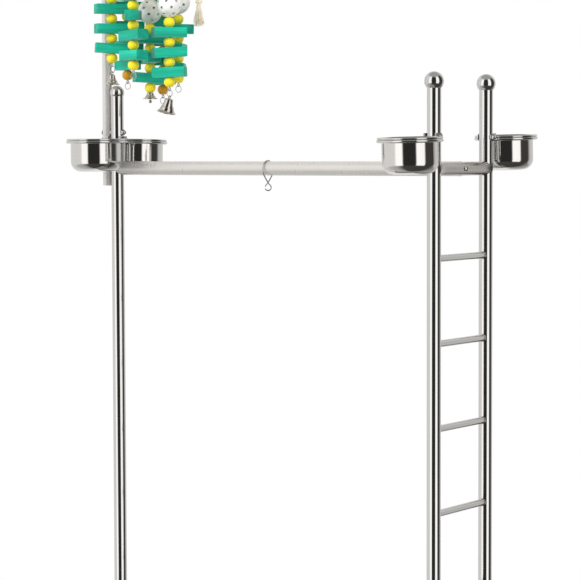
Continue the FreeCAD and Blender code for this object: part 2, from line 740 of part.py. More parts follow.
rungs = []
rung_z = PERCH_Z - dims.rung_drop
while rung_z.value > RAIL_TOP.value + dims.tray_lip.value + dims.rung_pitch.value / 4:
    bar = rod(dims.rung_od / 2, dims.ladder_depth, (HALF_SPAN, -HALF_LADDER, rung_z), "y")
    rungs.append(cut(bar, *ladder_post_tools(rung_z - dims.rung_od, 2 * dims.rung_od)))
    rung_z = rung_z - dims.rung_pitch
node(gather(*rungs), "ladder_rungs")

bar = dims.bar_od / 2
flare = dims.bar_flare_od / 2
flare_from = HALF_LADDER - dims.bar_flare_long
flare_bow = (bar + (flare - bar) * 0.28, flare_from + dims.bar_flare_long * 0.55)
bar_bore = bar - dims.tube_wall
head_bar = turned([
    (bar_bore, -HALF_LADDER), (flare, -HALF_LADDER, (flare_bow[0], -flare_bow[1])), (bar, -flare_from),
    (bar, flare_from, flare_bow), (flare, HALF_LADDER), (bar_bore, HALF_LADDER),
], (HALF_SPAN, 0, PERCH_Z), "y")
bar_hole = rod(BOLT_HOLE, dims.bar_flare_od, (HALF_SPAN - flare, 0, PERCH_Z), "x")
node(cut(head_bar, bar_hole, *ladder_post_tools(PERCH_Z - dims.bar_flare_od, 2 * dims.bar_flare_od)),
     "ladder_head_bar")


# ---------------------------------------------------------------- perch and its fasteners

perch_bore = dims.perch_od - 2 * dims.tube_wall
perch_left = rod(TUBE + dims.weld_gap, 2 * dims.perch_od, (-HALF_SPAN, 0, PERCH_Z - dims.perch_od))
perch_right = rod(bar + dims.weld_gap, dims.ladder_depth, (HALF_SPAN, -HALF_LADDER, PERCH_Z), "y")
node(tube(dims.perch_od, dims.perch_span, (-HALF_SPAN, 0, PERCH_Z), "x", perch_left, perch_right),
     "perch")

perch_plug_od = perch_bore - 2 * dims.plug_gap
plug_inset = 2
left_plug_x = -HALF_SPAN + TUBE + plug_inset
right_plug_x = HALF_SPAN - bar - plug_inset - dims.plug_long
node(gather(*[plug(perch_plug_od, dims.plug_long, dims.bolt_od, (x, 0, PERCH_Z), "x")
              for x in (left_plug_x, right_plug_x)]), "perch_end_plugs")
node(domed_bolt(dims.bar_od + plug_inset + dims.plug_long * 0.8, (HALF_SPAN + bar, 0, PERCH_Z), "x"),
     "perch_screw")

POLE_FACE = POLE_X - POLE
spacer = plug(dims.bolt_head_od, POLE_STAND - 2 * dims.lug_gap, dims.bolt_od + dims.bolt_play,
              (0, 0, 0), "z")
node(gather(*[copy_of(spacer, (-HALF_SPAN - TUBE - POLE_STAND + dims.lug_gap, 0, z), ALONG["x"])
              for z in (PERCH_Z, POLE_BOLT_Z)]), "pole_spacers")


# ---------------------------------------------------------------- cups and their rings

ring_wire = dims.ring_wire / 2
rim_centre = (dims.cup_rim_od - dims.rim_bead) / 2
ring_low = -dims.lug_rise
rim_low = ring_low + ring_wire + dims.seat_gap
RING_REACH = TUBE + dims.ring_clear + ring_wire + rim_centre   # post axis to cup axis
LUG_SHOULDER = TUBE + 2 * dims.lug_gap   # where a lug steps down to pass below the cup's rim


def lug_reach(layer):
    """Post axis to the outer face of a lug in its layer."""
    return TUBE + (layer + 1) * LUG_STEP


def cup_ring(layer):
    """The wire ring and its two lugs, in the frame of the lug bolt: the post's axis is Z."""
    wire = hoop(rim_centre, dims.ring_wire, (0, -RING_REACH, ring_low))
    outer = lug_reach(layer)
    half_tall = dims.lug_tall / 2
    arm_end = RING_REACH - rim_centre + dims.ring_wire
    arm_tall = half_tall + rim_low - 2 * dims.seat_gap
    lugs = []
    for side in SIDES.values():
        x = side * (outer - dims.lug_thick / 2)
        lugs += [
            block(dims.lug_thick, LUG_SHOULDER, dims.lug_tall, x, -LUG_SHOULDER / 2, -half_tall),
            block(dims.lug_thick, arm_end, arm_tall, x, -arm_end / 2, -half_tall),
            rod(half_tall, dims.lug_thick, (x - dims.lug_thick / 2, 0, 0), "x"),
        ]
    bolt_hole = rod(BOLT_HOLE, 2 * outer + 2 * OVER, (-outer - OVER, 0, 0), "x")
    post_room = rod(outer - dims.lug_thick, dims.lug_tall * 2, (0, 0, -dims.lug_tall))
    return cut(fuse(wire, *lugs), bolt_hole, post_room)


def cup():
    """A drawn steel cup with a rolled rim, in the same frame as its ring."""
    outer = dims.cup_od / 2
    inner = outer - dims.cup_wall
    low = rim_low + dims.rim_bead - dims.cup_tall
    bend = dims.cup_corner
    bend_in = bend - dims.cup_wall
    bow = 1 - math.sqrt(0.5)
    bead = dims.rim_bead / 2
    rim_top = rim_low + dims.rim_bead
    shell = turned([
        (0, low), (outer - bend, low, (outer - bend * bow, low + bend * bow)), (outer, low + bend),
        (outer, rim_top - dims.cup_wall), (rim_centre, rim_top - dims.cup_wall), (rim_centre, rim_top),
        (inner + 1, rim_top), (inner, rim_top - 1), (inner, low + bend, (
            inner - bend_in * bow, low + dims.cup_wall + bend_in * bow)),
        (outer - bend, low + dims.cup_wall), (0, low + dims.cup_wall),
    ], (0, -RING_REACH, 0))
    rim = hoop(rim_centre, dims.rim_bead, (0, -RING_REACH, rim_low + bead))
    return fuse(shell, rim)


NUT_SEAT = dims.lug_gap


def on_bolt(at, about_post, offset):
    """A point on a ring bolt's axis, off the post's own axis."""
    way = about_post.multVec(Vector(1, 0, 0))
    return at[0] + offset * way.x, at[1] + offset * way.y, at[2]


low_head = dims.bolt_head_od * 0.8
low_tall = dims.bolt_head_tall * 0.7
ladder_bolt_long = 2 * lug_reach(0) + NUT_SEAT + dims.nut_hex_tall
ladder_bolt = domed_bolt(ladder_bolt_long, (0, 0, 0), "z", None, low_head, low_tall)
nut = acorn_nut((0, 0, 0), "z")
nut_face = lug_reach(1) + NUT_SEAT
left_bolt_long = nut_face + dims.nut_hex_tall + TUBE + POLE_STAND + dims.pole_od
left_bolt = domed_bolt(left_bolt_long, (0, 0, 0), "z", None, low_head, low_tall)
ladder_bolts, nuts, pole_bolts = [], [], []
for name, spec in CUP_PLACES.items():
    y = as_size(0) if spec["side"] < 0 else LADDER_Y[name.split("_")[1]]
    at = (spec["side"] * HALF_SPAN, y, BOLT_Z)
    about_post = Rotation(Vector(0, 0, 1), spec["turn"])
    turn = about_post * Rotation(Vector(1, 0, 0), spec["lean"])
    node(place(cup_ring(spec["layer"]), at, turn), f"cup_ring_{name}")
    node(place(cup(), at, turn), f"cup_{name}")
    if spec["side"] > 0:
        reach = lug_reach(spec["layer"]) + NUT_SEAT
        ladder_bolts.append(copy_of(ladder_bolt, on_bolt(at, about_post, reach - NUT_SEAT),
                                    about_post * ALONG["x"]))
        nuts.append(copy_of(nut, on_bolt(at, about_post, -reach), about_post * ALONG["-x"]))
    elif spec["layer"] == 1:
        nuts.append(copy_of(nut, on_bolt(at, about_post, nut_face), about_post * ALONG["x"]))
        pole_bolts.append(copy_of(
            left_bolt, on_bolt(at, about_post, -TUBE - POLE_STAND - dims.pole_od),
            about_post * ALONG["-x"]))
node(gather(*ladder_bolts), "ring_bolts")

upper_bolt = domed_bolt(dims.pole_od + POLE_STAND + dims.tube_od + NUT_SEAT + dims.nut_hex_tall,
                        (POLE_FACE, 0, POLE_BOLT_Z), "-x")
lower_bolt = domed_bolt(left_plug_x + dims.plug_long * 0.8 - POLE_FACE, (POLE_FACE, 0, PERCH_Z), "-x")
node(gather(upper_bolt, lower_bolt, *pole_bolts), "pole_bolts")
nuts.append(copy_of(nut, (-HALF_SPAN + TUBE + NUT_SEAT, 0, POLE_BOLT_Z), ALONG["x"]))
node(gather(*nuts), "acorn_nuts")


# ---------------------------------------------------------------- toy pole with its crook

pole_low = PERCH_Z - dims.pole_foot_drop
arch_z = PERCH_Z + dims.pole_rise
crook_x = POLE_X + 2 * dims.crook_radius
crook_end = arch_z - dims.crook_tip


def crook_solid(radius, run_past):
    """The pole as one bent rod: a straight, a half turn and a short straight end."""
    r = dims.crook_radius.value
    low = Vector(POLE_X.value, 0, pole_low.value - run_past)
    bend_start = Vector(POLE_X.value, 0, arch_z.value)
    bend_top = Vector(POLE_X.value + r, 0, arch_z.value + r)
    bend_end = Vector(crook_x.value, 0, arch_z.value)
    tip = Vector(crook_x.value, 0, crook_end.value - run_past)
    path = Part.Wire([
        Part.LineSegment(low, bend_start).toShape(),
        Part.Arc(bend_start, bend_top, bend_end).toShape(),
        Part.LineSegment(bend_end, tip).toShape(),
    ])
    section = Part.Wire([Part.Circle(low, Vector(0, 0, 1), radius).toShape()])
    return path.makePipeShell([section], True, True)


pole = doc.addObject("Part::Feature", "pole")
pole_shape = crook_solid(POLE.value, 0).cut(crook_solid(POLE_BORE.value, OVER))
slant = Rotation(Vector(0, 0, 1), LEFT_TURN).multVec(Vector(1, 0, 0))
for z, way in ((PERCH_Z, Vector(1, 0, 0)), (BOLT_Z, slant), (POLE_BOLT_Z, Vector(1, 0, 0))):
    axis_point = Vector(-HALF_SPAN.value, 0, z.value)
    drill = Part.makeCylinder(BOLT_HOLE.value, 2 * drill_long.value,
                              axis_point - way * (2 * drill_long.value), way)
    pole_shape = pole_shape.cut(drill)
pole.Shape = pole_shape
node(pole, "toy_pole")
crook_plug_od = 2 * (POLE_BORE - dims.plug_gap)
node(plug(crook_plug_od, dims.plug_long, dims.bolt_od, (crook_x, 0, crook_end), "z"), "crook_plug")


# ---------------------------------------------------------------- screw eyes and quick link

eye = dims.eye_radius
eye_wire = dims.eye_wire / 2
link_wire = dims.link_wire / 2
eye_z = crook_end - eye - eye_wire - OVER
node(fuse(
    hoop(eye, dims.eye_wire, (crook_x, 0, eye_z), "y"),
    rod(dims.bolt_od / 2, dims.plug_long + OVER + eye_wire, (crook_x, 0, crook_end - OVER - eye_wire)),
), "crook_screw_eye")

link_top = eye_z - eye + eye_wire + link_wire + dims.hang_gap
link_high = link_top - dims.link_radius
link_low = link_high - dims.link_straight
link_bottom = link_low - dims.link_radius


def link_ring():
    """The quick link's bent wire: two half turns and two straight sides, in the YZ plane."""
    r = dims.link_radius.value
    x, high, low = crook_x.value, link_high.value, link_low.value
    corners = [Vector(x, -r, low), Vector(x, -r, high), Vector(x, r, high), Vector(x, r, low)]
    path = Part.Wire([
        Part.LineSegment(corners[0], corners[1]).toShape(),
        Part.Arc(corners[1], Vector(x, 0, high + r), corners[2]).toShape(),
        Part.LineSegment(corners[2], corners[3]).toShape(),
        Part.Arc(corners[3], Vector(x, 0, low - r), corners[0]).toShape(),
    ])
    section = Part.Wire([Part.Circle(corners[0], Vector(0, 0, 1), link_wire.value).toShape()])
    return path.makePipeShell([section], True, True)


link = doc.addObject("Part::Feature", "link")
sleeve_long = dims.link_straight * 0.6
sleeve_at = Vector(crook_x.value, dims.link_radius.value, link_low.value + dims.link_straight.value * 0.2)
sleeve = Part.makeCylinder(link_wire.value * 1.6, sleeve_long.value, sleeve_at)
sleeve = sleeve.cut(Part.makeCylinder(
    link_wire.value + dims.thread_play.value, sleeve_long.value, sleeve_at))
link.Shape = Part.makeCompound([link_ring(), sleeve])
node(link, "quick_link")

plate_eye_z = link_bottom + link_wire + eye_wire + dims.hang_gap - eye
plate_top = plate_eye_z - eye - eye_wire - OVER
plate_low = plate_top - dims.plate_thick
PLATE_NUT_TALL = 5
shank_low = plate_low - PLATE_NUT_TALL - 3
node(gather(
    fuse(hoop(eye, dims.eye_wire, (crook_x, 0, plate_eye_z), "y"),
         rod(dims.bolt_od / 2, plate_eye_z - eye - shank_low, (crook_x, 0, shank_low)),
         rod(eye_wire * 2, OVER * 2, (crook_x, 0, plate_top))),
    plug(dims.nut_flats, PLATE_NUT_TALL, dims.bolt_od, (crook_x, 0, plate_low - PLATE_NUT_TALL), "z"),
), "plate_eye_bolt")


# ---------------------------------------------------------------- toy: plate and strands

ROPE_HEADING = 34.4   # degrees from X, the way the rope leaves the plate
rope_way = Rotation(Vector(0, 0, 1), ROPE_HEADING)
wire = dims.strand_wire / 2
loop = dims.loop_radius
strand_hole = dims.slat_hole / 2
plate_mid = plate_top - dims.plate_thick / 2
rope_seat = 25        # depth of the blind hole for the rope

plate = turned([
    (0, -dims.plate_thick / 2), (dims.plate_od / 2 - 2, -dims.plate_thick / 2),
    (dims.plate_od / 2, 2 - dims.plate_thick / 2), (dims.plate_od / 2, dims.plate_thick / 2 - 2),
    (dims.plate_od / 2 - 2, dims.plate_thick / 2), (0, dims.plate_thick / 2),
], (crook_x, 0, plate_mid))
seat_start = rope_way.multVec(Vector(dims.plate_od.value / 2 - rope_seat, 0, 0))
seat_hole = rod(dims.rope_od / 2 + 0.3, rope_seat + OVER, (0, 0, 0))
seat_hole = place(seat_hole, (crook_x + seat_start.x, seat_start.y, plate_mid),
                  rope_way * ALONG["x"])


def strand_place(letter):
    """Where a strand hangs, in plan."""
    return (crook_x + getattr(dims, f"strand_{letter}_x"), getattr(dims, f"strand_{letter}_y"))


plate_holes = [
    rod(strand_hole, dims.plate_thick + 2 * OVER, (*strand_place(letter), plate_low - OVER))
    for letter in STRANDS
]
eye_hole = rod(BOLT_HOLE, dims.plate_thick + 2 * OVER, (crook_x, 0, plate_low - OVER))
node(cut(plate, eye_hole, seat_hole, *plate_holes), "toy_plate")

slat = padded(rounded_rectangle(dims.slat_long, dims.slat_wide, dims.slat_round), dims.slat_thick,
              dims.slat_hole, centred=True)
bead_half = dims.bead_tall / 2
bead = turned([
    (strand_hole, -bead_half), (dims.bead_end_od / 2, -bead_half, (dims.bead_od / 2, 0)),
    (dims.bead_end_od / 2, bead_half), (strand_hole, bead_half),
], (0, 0, 0))


def air_ball():
    """A hollow ball with air holes on tilted axes, and a hole at each pole for the wire."""
    hollow = sphere(dims.air_ball_od - 2 * dims.air_ball_wall, (0, 0, 0))
    reach = dims.air_ball_od + 2 * OVER
    drills = [rod(strand_hole, reach, (0, 0, -reach / 2))]
    for tilt, count, first in ((42, 5, 0), (75, 7, 20)):
        for step in range(count):
            turn = (Rotation(Vector(0, 0, 1), first + 360 * step / count)
                    * Rotation(Vector(0, 1, 0), tilt))
            start = turn.multVec(Vector(0, 0, -reach.value / 2))
            drills.append(place(rod(dims.air_hole / 2, reach, (0, 0, 0)),
                                (start.x, start.y, start.z), turn))
    return cut(sphere(dims.air_ball_od, (0, 0, 0)), hollow, *drills)


ball_piece = air_ball()
TALL = {"b": dims.bead_tall, "s": dims.slat_thick, "o": dims.air_ball_od}
PIECE = {"b": bead, "s": slat, "o": ball_piece}
BALL_TURN = 17        # degrees, so that no two balls show the same holes
CAP_STRAND = "c"      # this strand runs through the crown of a flat bell at its low end
BELL_WALL = 1.2
copies = {"b": [], "s": [], "o": []}
wires, strand_ends = [], {}
for letter, strand in STRANDS.items():
    x, y = strand_place(letter)
    z = plate_low - getattr(dims, f"strand_{letter}_slack")
    turns, leans = iter(strand["turns"]), iter(strand["leans"])
    for kind in strand["stack"]:
        centre = z - TALL[kind] / 2
        turn = Rotation(Vector(0, 0, 1), BALL_TURN * len(copies["o"]))
        if kind == "s":
            turn = Rotation(Vector(0, 0, 1), next(turns)) * Rotation(Vector(0, 1, 0), -next(leans))
        copies[kind].append(copy_of(PIECE[kind], (x, y, centre), turn))
        z = z - TALL[kind] - dims.stack_gap
    if letter == CAP_STRAND:
        cap_crown = z
        z = z - BELL_WALL - dims.stack_gap
    low_loop = z - loop - wire
    high_loop = plate_top + dims.stack_gap + loop + wire
    strand_ends[letter] = (x, y, low_loop)
    wires.append(fuse(
        rod(wire, high_loop - low_loop - 2 * loop, (x, y, low_loop + loop)),
        hoop(loop, dims.strand_wire, (x, y, low_loop), "x"),
        hoop(loop, dims.strand_wire, (x, y, high_loop), "x"),
    ))
node(gather(*wires), "strand_wires")
node(gather(*copies["s"]), "toy_slats")
node(gather(*copies["b"]), "toy_beads")
node(gather(*copies["o"]), "toy_air_balls")

# Split rings hang in the low loops of these strands, square to them.
RINGED = "abdefg"
ring_half = dims.ring_thick / 2
ring_of = {}
for letter in RINGED:
    x, y, low_loop = strand_ends[letter]
    ring_z = low_loop - loop + wire + ring_half + dims.hang_gap - dims.ring_radius
    ring_of[letter] = (x, y, ring_z)
node(gather(*[hoop(dims.ring_radius, dims.ring_thick, at, "y") for at in ring_of.values()]),
     "split_rings")


# ---------------------------------------------------------------- bells

# The cross pin of a bell carries its clapper's eye.
PIN = 0.75            # radius
PIN_DROP = 6          # crown to pin
CLAPPER_WIRE = 1.2
CLAPPER_PLAY = 0.3    # the clapper's eye round its pin
KNOB_OD = 6.5
CAP_TONGUE = 9        # low wire of the middle strand's loop to the middle of its knob
LARGE_BELL_LEAN = 15  # degrees


def bell_skin(mouth, tall, crown, hole):
    """Half outline of a bell that flares from its crown to its lip, heights below the crown."""
    lip, top = mouth / 2, as_size(crown) / 2
    waist = top + (lip - top) * 0.42
    wall = BELL_WALL
    return [
        (hole, 0), (top - 1.5, 0), (top, -1.5, (top + 0.6, -tall * 0.3)),
        (waist, -tall * 0.62, (waist + (lip - waist) * 0.35, -tall * 0.82)), (lip, -tall + 1),
        (lip, -tall), (lip - wall, -tall, (waist + (lip - waist) * 0.35 - wall, -tall * 0.8)),
        (waist - wall, -tall * 0.62, (top + 0.6 - wall, -tall * 0.3)), (top - wall, -wall - 0.8),
        (top - 1.5, -wall), (hole, -wall),
    ]


def clapper(eye_z, knob_z, eye_room):
    """A wire with an eye round its pin and a knob at its low end, in the bell's frame."""
    eye = eye_room + CLAPPER_PLAY + CLAPPER_WIRE / 2
    knob_z = as_size(knob_z)
    return fuse(hoop(eye, CLAPPER_WIRE, (0, 0, eye_z), "y"),
                rod(CLAPPER_WIRE / 2, eye_z - eye - knob_z, (0, 0, knob_z)),
                sphere(KNOB_OD, (0, 0, knob_z)))


def hanging_bell(letter, mouth, tall, crown_od, lean):
    """A bell and its clapper, hung by the bell's own loop on the low wire of a split ring and
    leaning about Y, in degrees."""
    x, y, z = ring_of[letter]
    at = (x, y, z - dims.ring_radius)
    loop_wire = dims.bell_loop_wire / 2
    crown = ring_half + loop_wire + dims.hang_gap - 2 * dims.bell_loop_radius
    turn = Rotation(Vector(0, 1, 0), lean) * Rotation(Vector(0, 0, 1), 90)
    shell = place(turned(bell_skin(mouth, tall, crown_od, 0), (0, 0, 0)), (0, 0, crown))
    pin_half = crown_od / 2 - BELL_WALL / 4
    pin_z = crown - PIN_DROP
    body = fuse(shell, rod(PIN, 2 * pin_half, (0, -pin_half, pin_z), "y"),
                hoop(dims.bell_loop_radius, dims.bell_loop_wire,
                     (0, 0, crown + dims.bell_loop_radius), "y"))
    node(place(body, at, turn), f"bell_{letter}")
    tongue = clapper(pin_z, crown - tall + KNOB_OD / 2 + OVER, as_size(PIN))
    node(place(tongue, at, turn), f"bell_clapper_{letter}")


hanging_bell("a", dims.small_bell_mouth, dims.small_bell_tall, dims.small_bell_crown, 0)
hanging_bell("d", dims.bell_mouth, dims.bell_tall, dims.bell_crown, LARGE_BELL_LEAN)

x, y, low_loop = strand_ends[CAP_STRAND]
node(turned(bell_skin(dims.cap_bell_mouth, dims.cap_bell_tall, dims.cap_bell_crown, strand_hole),
            (x, y, cap_crown)), f"bell_{CAP_STRAND}")
tongue = clapper(-loop, -loop - CAP_TONGUE, wire)
node(place(tongue, (x, y, low_loop)), f"bell_clapper_{CAP_STRAND}")


# ---------------------------------------------------------------- cotton rope and tassel

rope_x, rope_z = crook_x.value, plate_mid.value
rim = dims.plate_od.value / 2
# Distance out from the toy's axis and drop below the plate's middle, point by point.
ROPE_ROUTE = [(rim - 2, 0), (rim + 6.5, -0.5), (rim + 15.5, -6.5), (rim + 20, -17),
              (rim + 21, -34), (rim + 21, -62)]


def rope_point(out, drop):
    """A point of the rope's route in the stand's frame."""
    flat = rope_way.multVec(Vector(out, 0, 0))
    return Vector(rope_x + flat.x, flat.y, rope_z + drop)


def arc_path(points):
    """Straight runs joined by tangent arcs, each as large as its two runs allow."""
    edges, start = [], points[0]
    for before, corner, after in zip(points, points[1:], points[2:]):
        run_in, run_out = corner - before, after - corner
        reach = 0.45 * min(run_in.Length, run_out.Length)
        turn = run_in.getAngle(run_out)
        arc_radius = reach / math.tan(turn / 2)
        print(f"rope arc radius {arc_radius:.1f} mm, turn {math.degrees(turn):.0f} degrees")
        first = corner - run_in.normalize() * reach
        last = corner + run_out.normalize() * reach
        bisector = (first + last) * 0.5 - corner
        drop = arc_radius / math.cos(turn / 2) - arc_radius
        middle = corner + bisector.normalize() * drop
        edges += [Part.LineSegment(start, first).toShape(), Part.Arc(first, middle, last).toShape()]
        start = last
    edges.append(Part.LineSegment(start, points[-1]).toShape())
    return Part.Wire(edges)


rope_points = [rope_point(*step) for step in ROPE_ROUTE]
rope_path = arc_path(rope_points)
rope_section = Part.Wire([Part.Circle(rope_points[0], rope_points[1] - rope_points[0],
                                      dims.rope_od.value / 2).toShape()])
rope = doc.addObject("Part::Feature", "rope")
rope.Shape = rope_path.makePipeShell([rope_section], True, False)
print(f"rope length {rope_path.Length:.1f} mm, volume {rope.Shape.Volume:.0f} against "
      f"{rope_path.Length * math.pi * dims.rope_od.value ** 2 / 4:.0f} mm3")
node(rope, "toy_rope")

KNOT_TALL, KNOT_OD = 14, 17
TASSEL_TALL, TASSEL_TOP, TASSEL_OD = 38, 12, 25
rope_end = rope_points[-1]
knot = turned([
    (0, -KNOT_TALL), (dims.rope_od / 2, -KNOT_TALL, (KNOT_OD / 2, -KNOT_TALL / 2)),
    (dims.rope_od / 2, 0), (0, 0),
], (rope_end.x, rope_end.y, rope_end.z))
tassel = turned([
    (0, -KNOT_TALL - TASSEL_TALL), (TASSEL_OD / 2, -KNOT_TALL - TASSEL_TALL,
     (TASSEL_TOP * 0.62, -KNOT_TALL - TASSEL_TALL * 0.5)),
    (TASSEL_TOP / 2, -KNOT_TALL), (0, -KNOT_TALL),
], (rope_end.x, rope_end.y, rope_end.z))
node(gather(knot, tassel), "rope_tassel")


# ---------------------------------------------------------------- wire toy hook on the perch

HOOK_TWIST = 50       # degrees that the low loop is turned from the loop round the perch
hook_wire = dims.hook_wire.value / 2
big = dims.hook_inner.value + hook_wire
big_z = PERCH_Z.value + dims.perch_od.value / 2 + dims.hang_gap.value + hook_wire - big
SMALL = 5.8           # low open loop, centreline radius
SMALL_DROP = 34.0     # centre of the big loop down to the centre of the low one
SPREAD = 0.5          # the low loop's two ends lie this far to either side of its plane


def hook_point(across, up, side, twist):
    """A point of the hook: across and up in its own plane, and off that plane."""
    flat = Rotation(Vector(0, 0, 1), -90 - twist).multVec(Vector(across, side, 0))
    return Vector(dims.hook_along.value + flat.x, flat.y, big_z + up)


def on_big(angle):
    """A point of the loop round the perch, by its angle from straight down."""
    return hook_point(big * math.sin(angle), -big * math.cos(angle), 0, 0)


def on_small(angle, side):
    """A point of the low loop, by its angle from straight up."""
    return hook_point(SMALL * math.sin(angle), SMALL * math.cos(angle) - SMALL_DROP, side, HOOK_TWIST)


def small_arc(start, finish, side):
    """A stretch of the low loop."""
    return Part.Arc(*[on_small(angle, side) for angle in (start, (start + finish) / 2, finish)])


def leg(before, after):
    """A smooth curve from the end of one arc to the start of the next, in line with both."""
    start, finish = before.value(before.LastParameter), after.value(after.FirstParameter)
    reach = 0.33 * (finish - start).Length
    curve = Part.BezierCurve()
    curve.setPoles([start, start + before.tangent(before.LastParameter)[0] * reach,
                    finish - after.tangent(after.FirstParameter)[0] * reach, finish])
    return curve


def hook_shape():
    """One bent wire: the open end of the low loop, round its bottom, across, round the perch
    and back across to the low loop's other end."""
    lean = math.acos((big + SMALL) / SMALL_DROP)
    open_end, other_end = math.radians(110), math.radians(75)
    first = small_arc(open_end, 2 * math.pi - lean, SPREAD)
    round_perch = Part.Arc(on_big(lean), on_big(math.pi), on_big(-lean))
    last = small_arc(lean, other_end, -SPREAD)
    curves = [first, leg(first, round_perch), round_perch, leg(round_perch, last), last]
    path = Part.Wire([curve.toShape() for curve in curves])
    section = Part.Circle(on_small(open_end, SPREAD), first.tangent(first.FirstParameter)[0], hook_wire)
    return path.makePipeShell([Part.Wire([section.toShape()])], True, False)


hook = doc.addObject("Part::Feature", "hook")
hook.Shape = hook_shape()
node(hook, "perch_toy_hook")


# ---------------------------------------------------------------- check and export

doc.recompute()
for item in doc.Objects:
    if {"Invalid", "Error"} & set(item.State):
        raise RuntimeError(f"{item.Name} ({item.Label}) is {item.State}")


def shape_of(obj):
    """The finished shape of a sub-part, in the stand's frame."""
    return Part.getShape(obj)


for item in nodes:
    shape = shape_of(item)
    if shape.isNull() or not shape.isValid() or not shape.Solids:
        raise RuntimeError(f"{item.Label} has no valid solid")
    if min(solid.Volume for solid in shape.Solids) <= 0:
        raise RuntimeError(f"{item.Label} has a solid that is inside out")

os.makedirs("parts", exist_ok=True)
for item in nodes:
    shape_of(item).exportStep(f"parts/{item.Label}.step")
print(f"{len(nodes)} nodes, {sum(len(shape_of(item).Solids) for item in nodes)} solids")
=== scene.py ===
import math
import random

import bpy
from mathutils import Matrix, Vector


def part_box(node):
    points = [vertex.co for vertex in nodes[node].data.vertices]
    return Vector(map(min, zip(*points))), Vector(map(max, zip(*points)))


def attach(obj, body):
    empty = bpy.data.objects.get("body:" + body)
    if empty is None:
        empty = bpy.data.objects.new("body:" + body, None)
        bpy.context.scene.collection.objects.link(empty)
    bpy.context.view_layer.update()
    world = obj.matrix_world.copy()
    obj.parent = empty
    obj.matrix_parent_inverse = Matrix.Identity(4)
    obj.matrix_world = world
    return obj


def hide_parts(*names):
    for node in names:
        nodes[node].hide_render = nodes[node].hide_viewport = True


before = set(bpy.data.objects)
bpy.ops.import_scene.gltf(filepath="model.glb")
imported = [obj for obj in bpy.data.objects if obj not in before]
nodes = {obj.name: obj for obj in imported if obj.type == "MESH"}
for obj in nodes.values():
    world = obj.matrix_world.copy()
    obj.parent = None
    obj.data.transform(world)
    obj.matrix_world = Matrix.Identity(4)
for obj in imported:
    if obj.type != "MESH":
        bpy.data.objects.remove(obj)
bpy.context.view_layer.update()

MM = 0.001


# ---- The room ----
# The stand is seen from its front left, a little above the perch. It stands on a plain pale
# floor in a white studio: bright walls, with the dark gaps between them that polished steel shows.

TURN, DIP, ROLL = 34.4, 3.51, -0.17      # degrees
eye = bpy.data.cameras.new("camera")
eye.lens, eye.sensor_width = 139.53, 36
camera = bpy.data.objects.new("camera", eye)
camera.matrix_world = (
    Matrix.Translation((2.4333, -3.5216, 1.1708))
    @ Matrix.Rotation(math.radians(TURN), 4, "Z")
    @ Matrix.Rotation(math.radians(90 - DIP), 4, "X")
    @ Matrix.Rotation(math.radians(ROLL), 4, "Z")
)
bpy.context.scene.collection.objects.link(camera)
bpy.context.scene.camera = camera
bpy.context.scene.view_settings.view_transform = "Standard"


class Finish:
    """What one socket of a finish's nodes gives. A sum on it adds Math nodes to the same tree."""

    def __init__(self, tree, socket=None):
        self.tree, self.socket = tree, socket

    def node(self, kind, settings=(), sockets=(), out=0):
        """Adds a node, its settings first and then each socket's value or link."""
        made = self.tree.nodes.new(kind)
        for name, value in dict(settings).items():
            if name == "stops":
                stops = made.color_ramp.elements
                stops.remove(stops[1])
                for number, (place, colour) in enumerate(value):
                    stop = stops.new(place) if number else stops[0]
                    stop.position, stop.color = place, colour
            else:
                setattr(made, name, value)
        for name, value in dict(sockets).items():
            if isinstance(value, Finish):
                self.tree.links.new(value.socket, made.inputs[name])
            else:
                made.inputs[name].default_value = value
        return Finish(self.tree, made.outputs[out] if made.outputs else None)

    def sum(self, operation, *terms):
        return self.node("ShaderNodeMath", {"operation": operation}, enumerate(terms))

    def __add__(self, other): return self.sum("ADD", self, other)
    def __sub__(self, other): return self.sum("SUBTRACT", self, other)
    def __rsub__(self, other): return self.sum("SUBTRACT", other, self)
    def __mul__(self, other): return self.sum("MULTIPLY", self, other)
    __radd__, __rmul__ = __add__, __mul__

    def vector(self, operation, other, out=0):
        return self.node("ShaderNodeVectorMath", {"operation": operation},
                         {0: self, 1: other}, out)

    def part(self, axis):
        """One of a vector's three numbers."""
        return self.node("ShaderNodeSeparateXYZ", (), {0: self}, axis)

    def step(self, low, high, first=0.0, last=1.0):
        """Runs smoothly from first to last as this goes from low to high."""
        return self.node("ShaderNodeMapRange", {"interpolation_type": "SMOOTHSTEP"},
                         {0: self, 1: low, 2: high, 3: first, 4: last})

    def mix(self, first, last):
        """A colour between two, by this."""
        return self.node("ShaderNodeMix", {"data_type": "RGBA"}, {0: self, 6: first, 7: last}, 2)

    def noise(self, scale, detail=2.0, own=None, stretch=None):
        """Mottling about this place. own sets one piece's mottling apart from the next one's."""
        place = self if stretch is None else self.vector("MULTIPLY", stretch)
        if own is None:
            return self.node("ShaderNodeTexNoise", (),
                             {"Vector": place, "Scale": scale, "Detail": detail})
        return self.node("ShaderNodeTexNoise", {"noise_dimensions": "4D"},
                         {"Vector": place, "W": own, "Scale": scale, "Detail": detail})

    def bump(self, depth):
        """Relief of this height, in metres."""
        return self.node("ShaderNodeBump", (), {"Height": self, "Distance": depth})


def seen(red, green, blue):
    """A colour as a picture shows it, 0 to 255, turned into light."""
    part = [c / 255 for c in (red, green, blue)]
    return (*(c / 12.92 if c < 0.04045 else ((c + 0.055) / 1.055) ** 2.4 for c in part), 1)


def grey(level):
    return (level, level, level, 1)


def warm(level):
    """A level of studio light, a little warmer where it is dim."""
    return (level, level * 0.985, level * (0.9 if level < 0.2 else 0.965), 1)


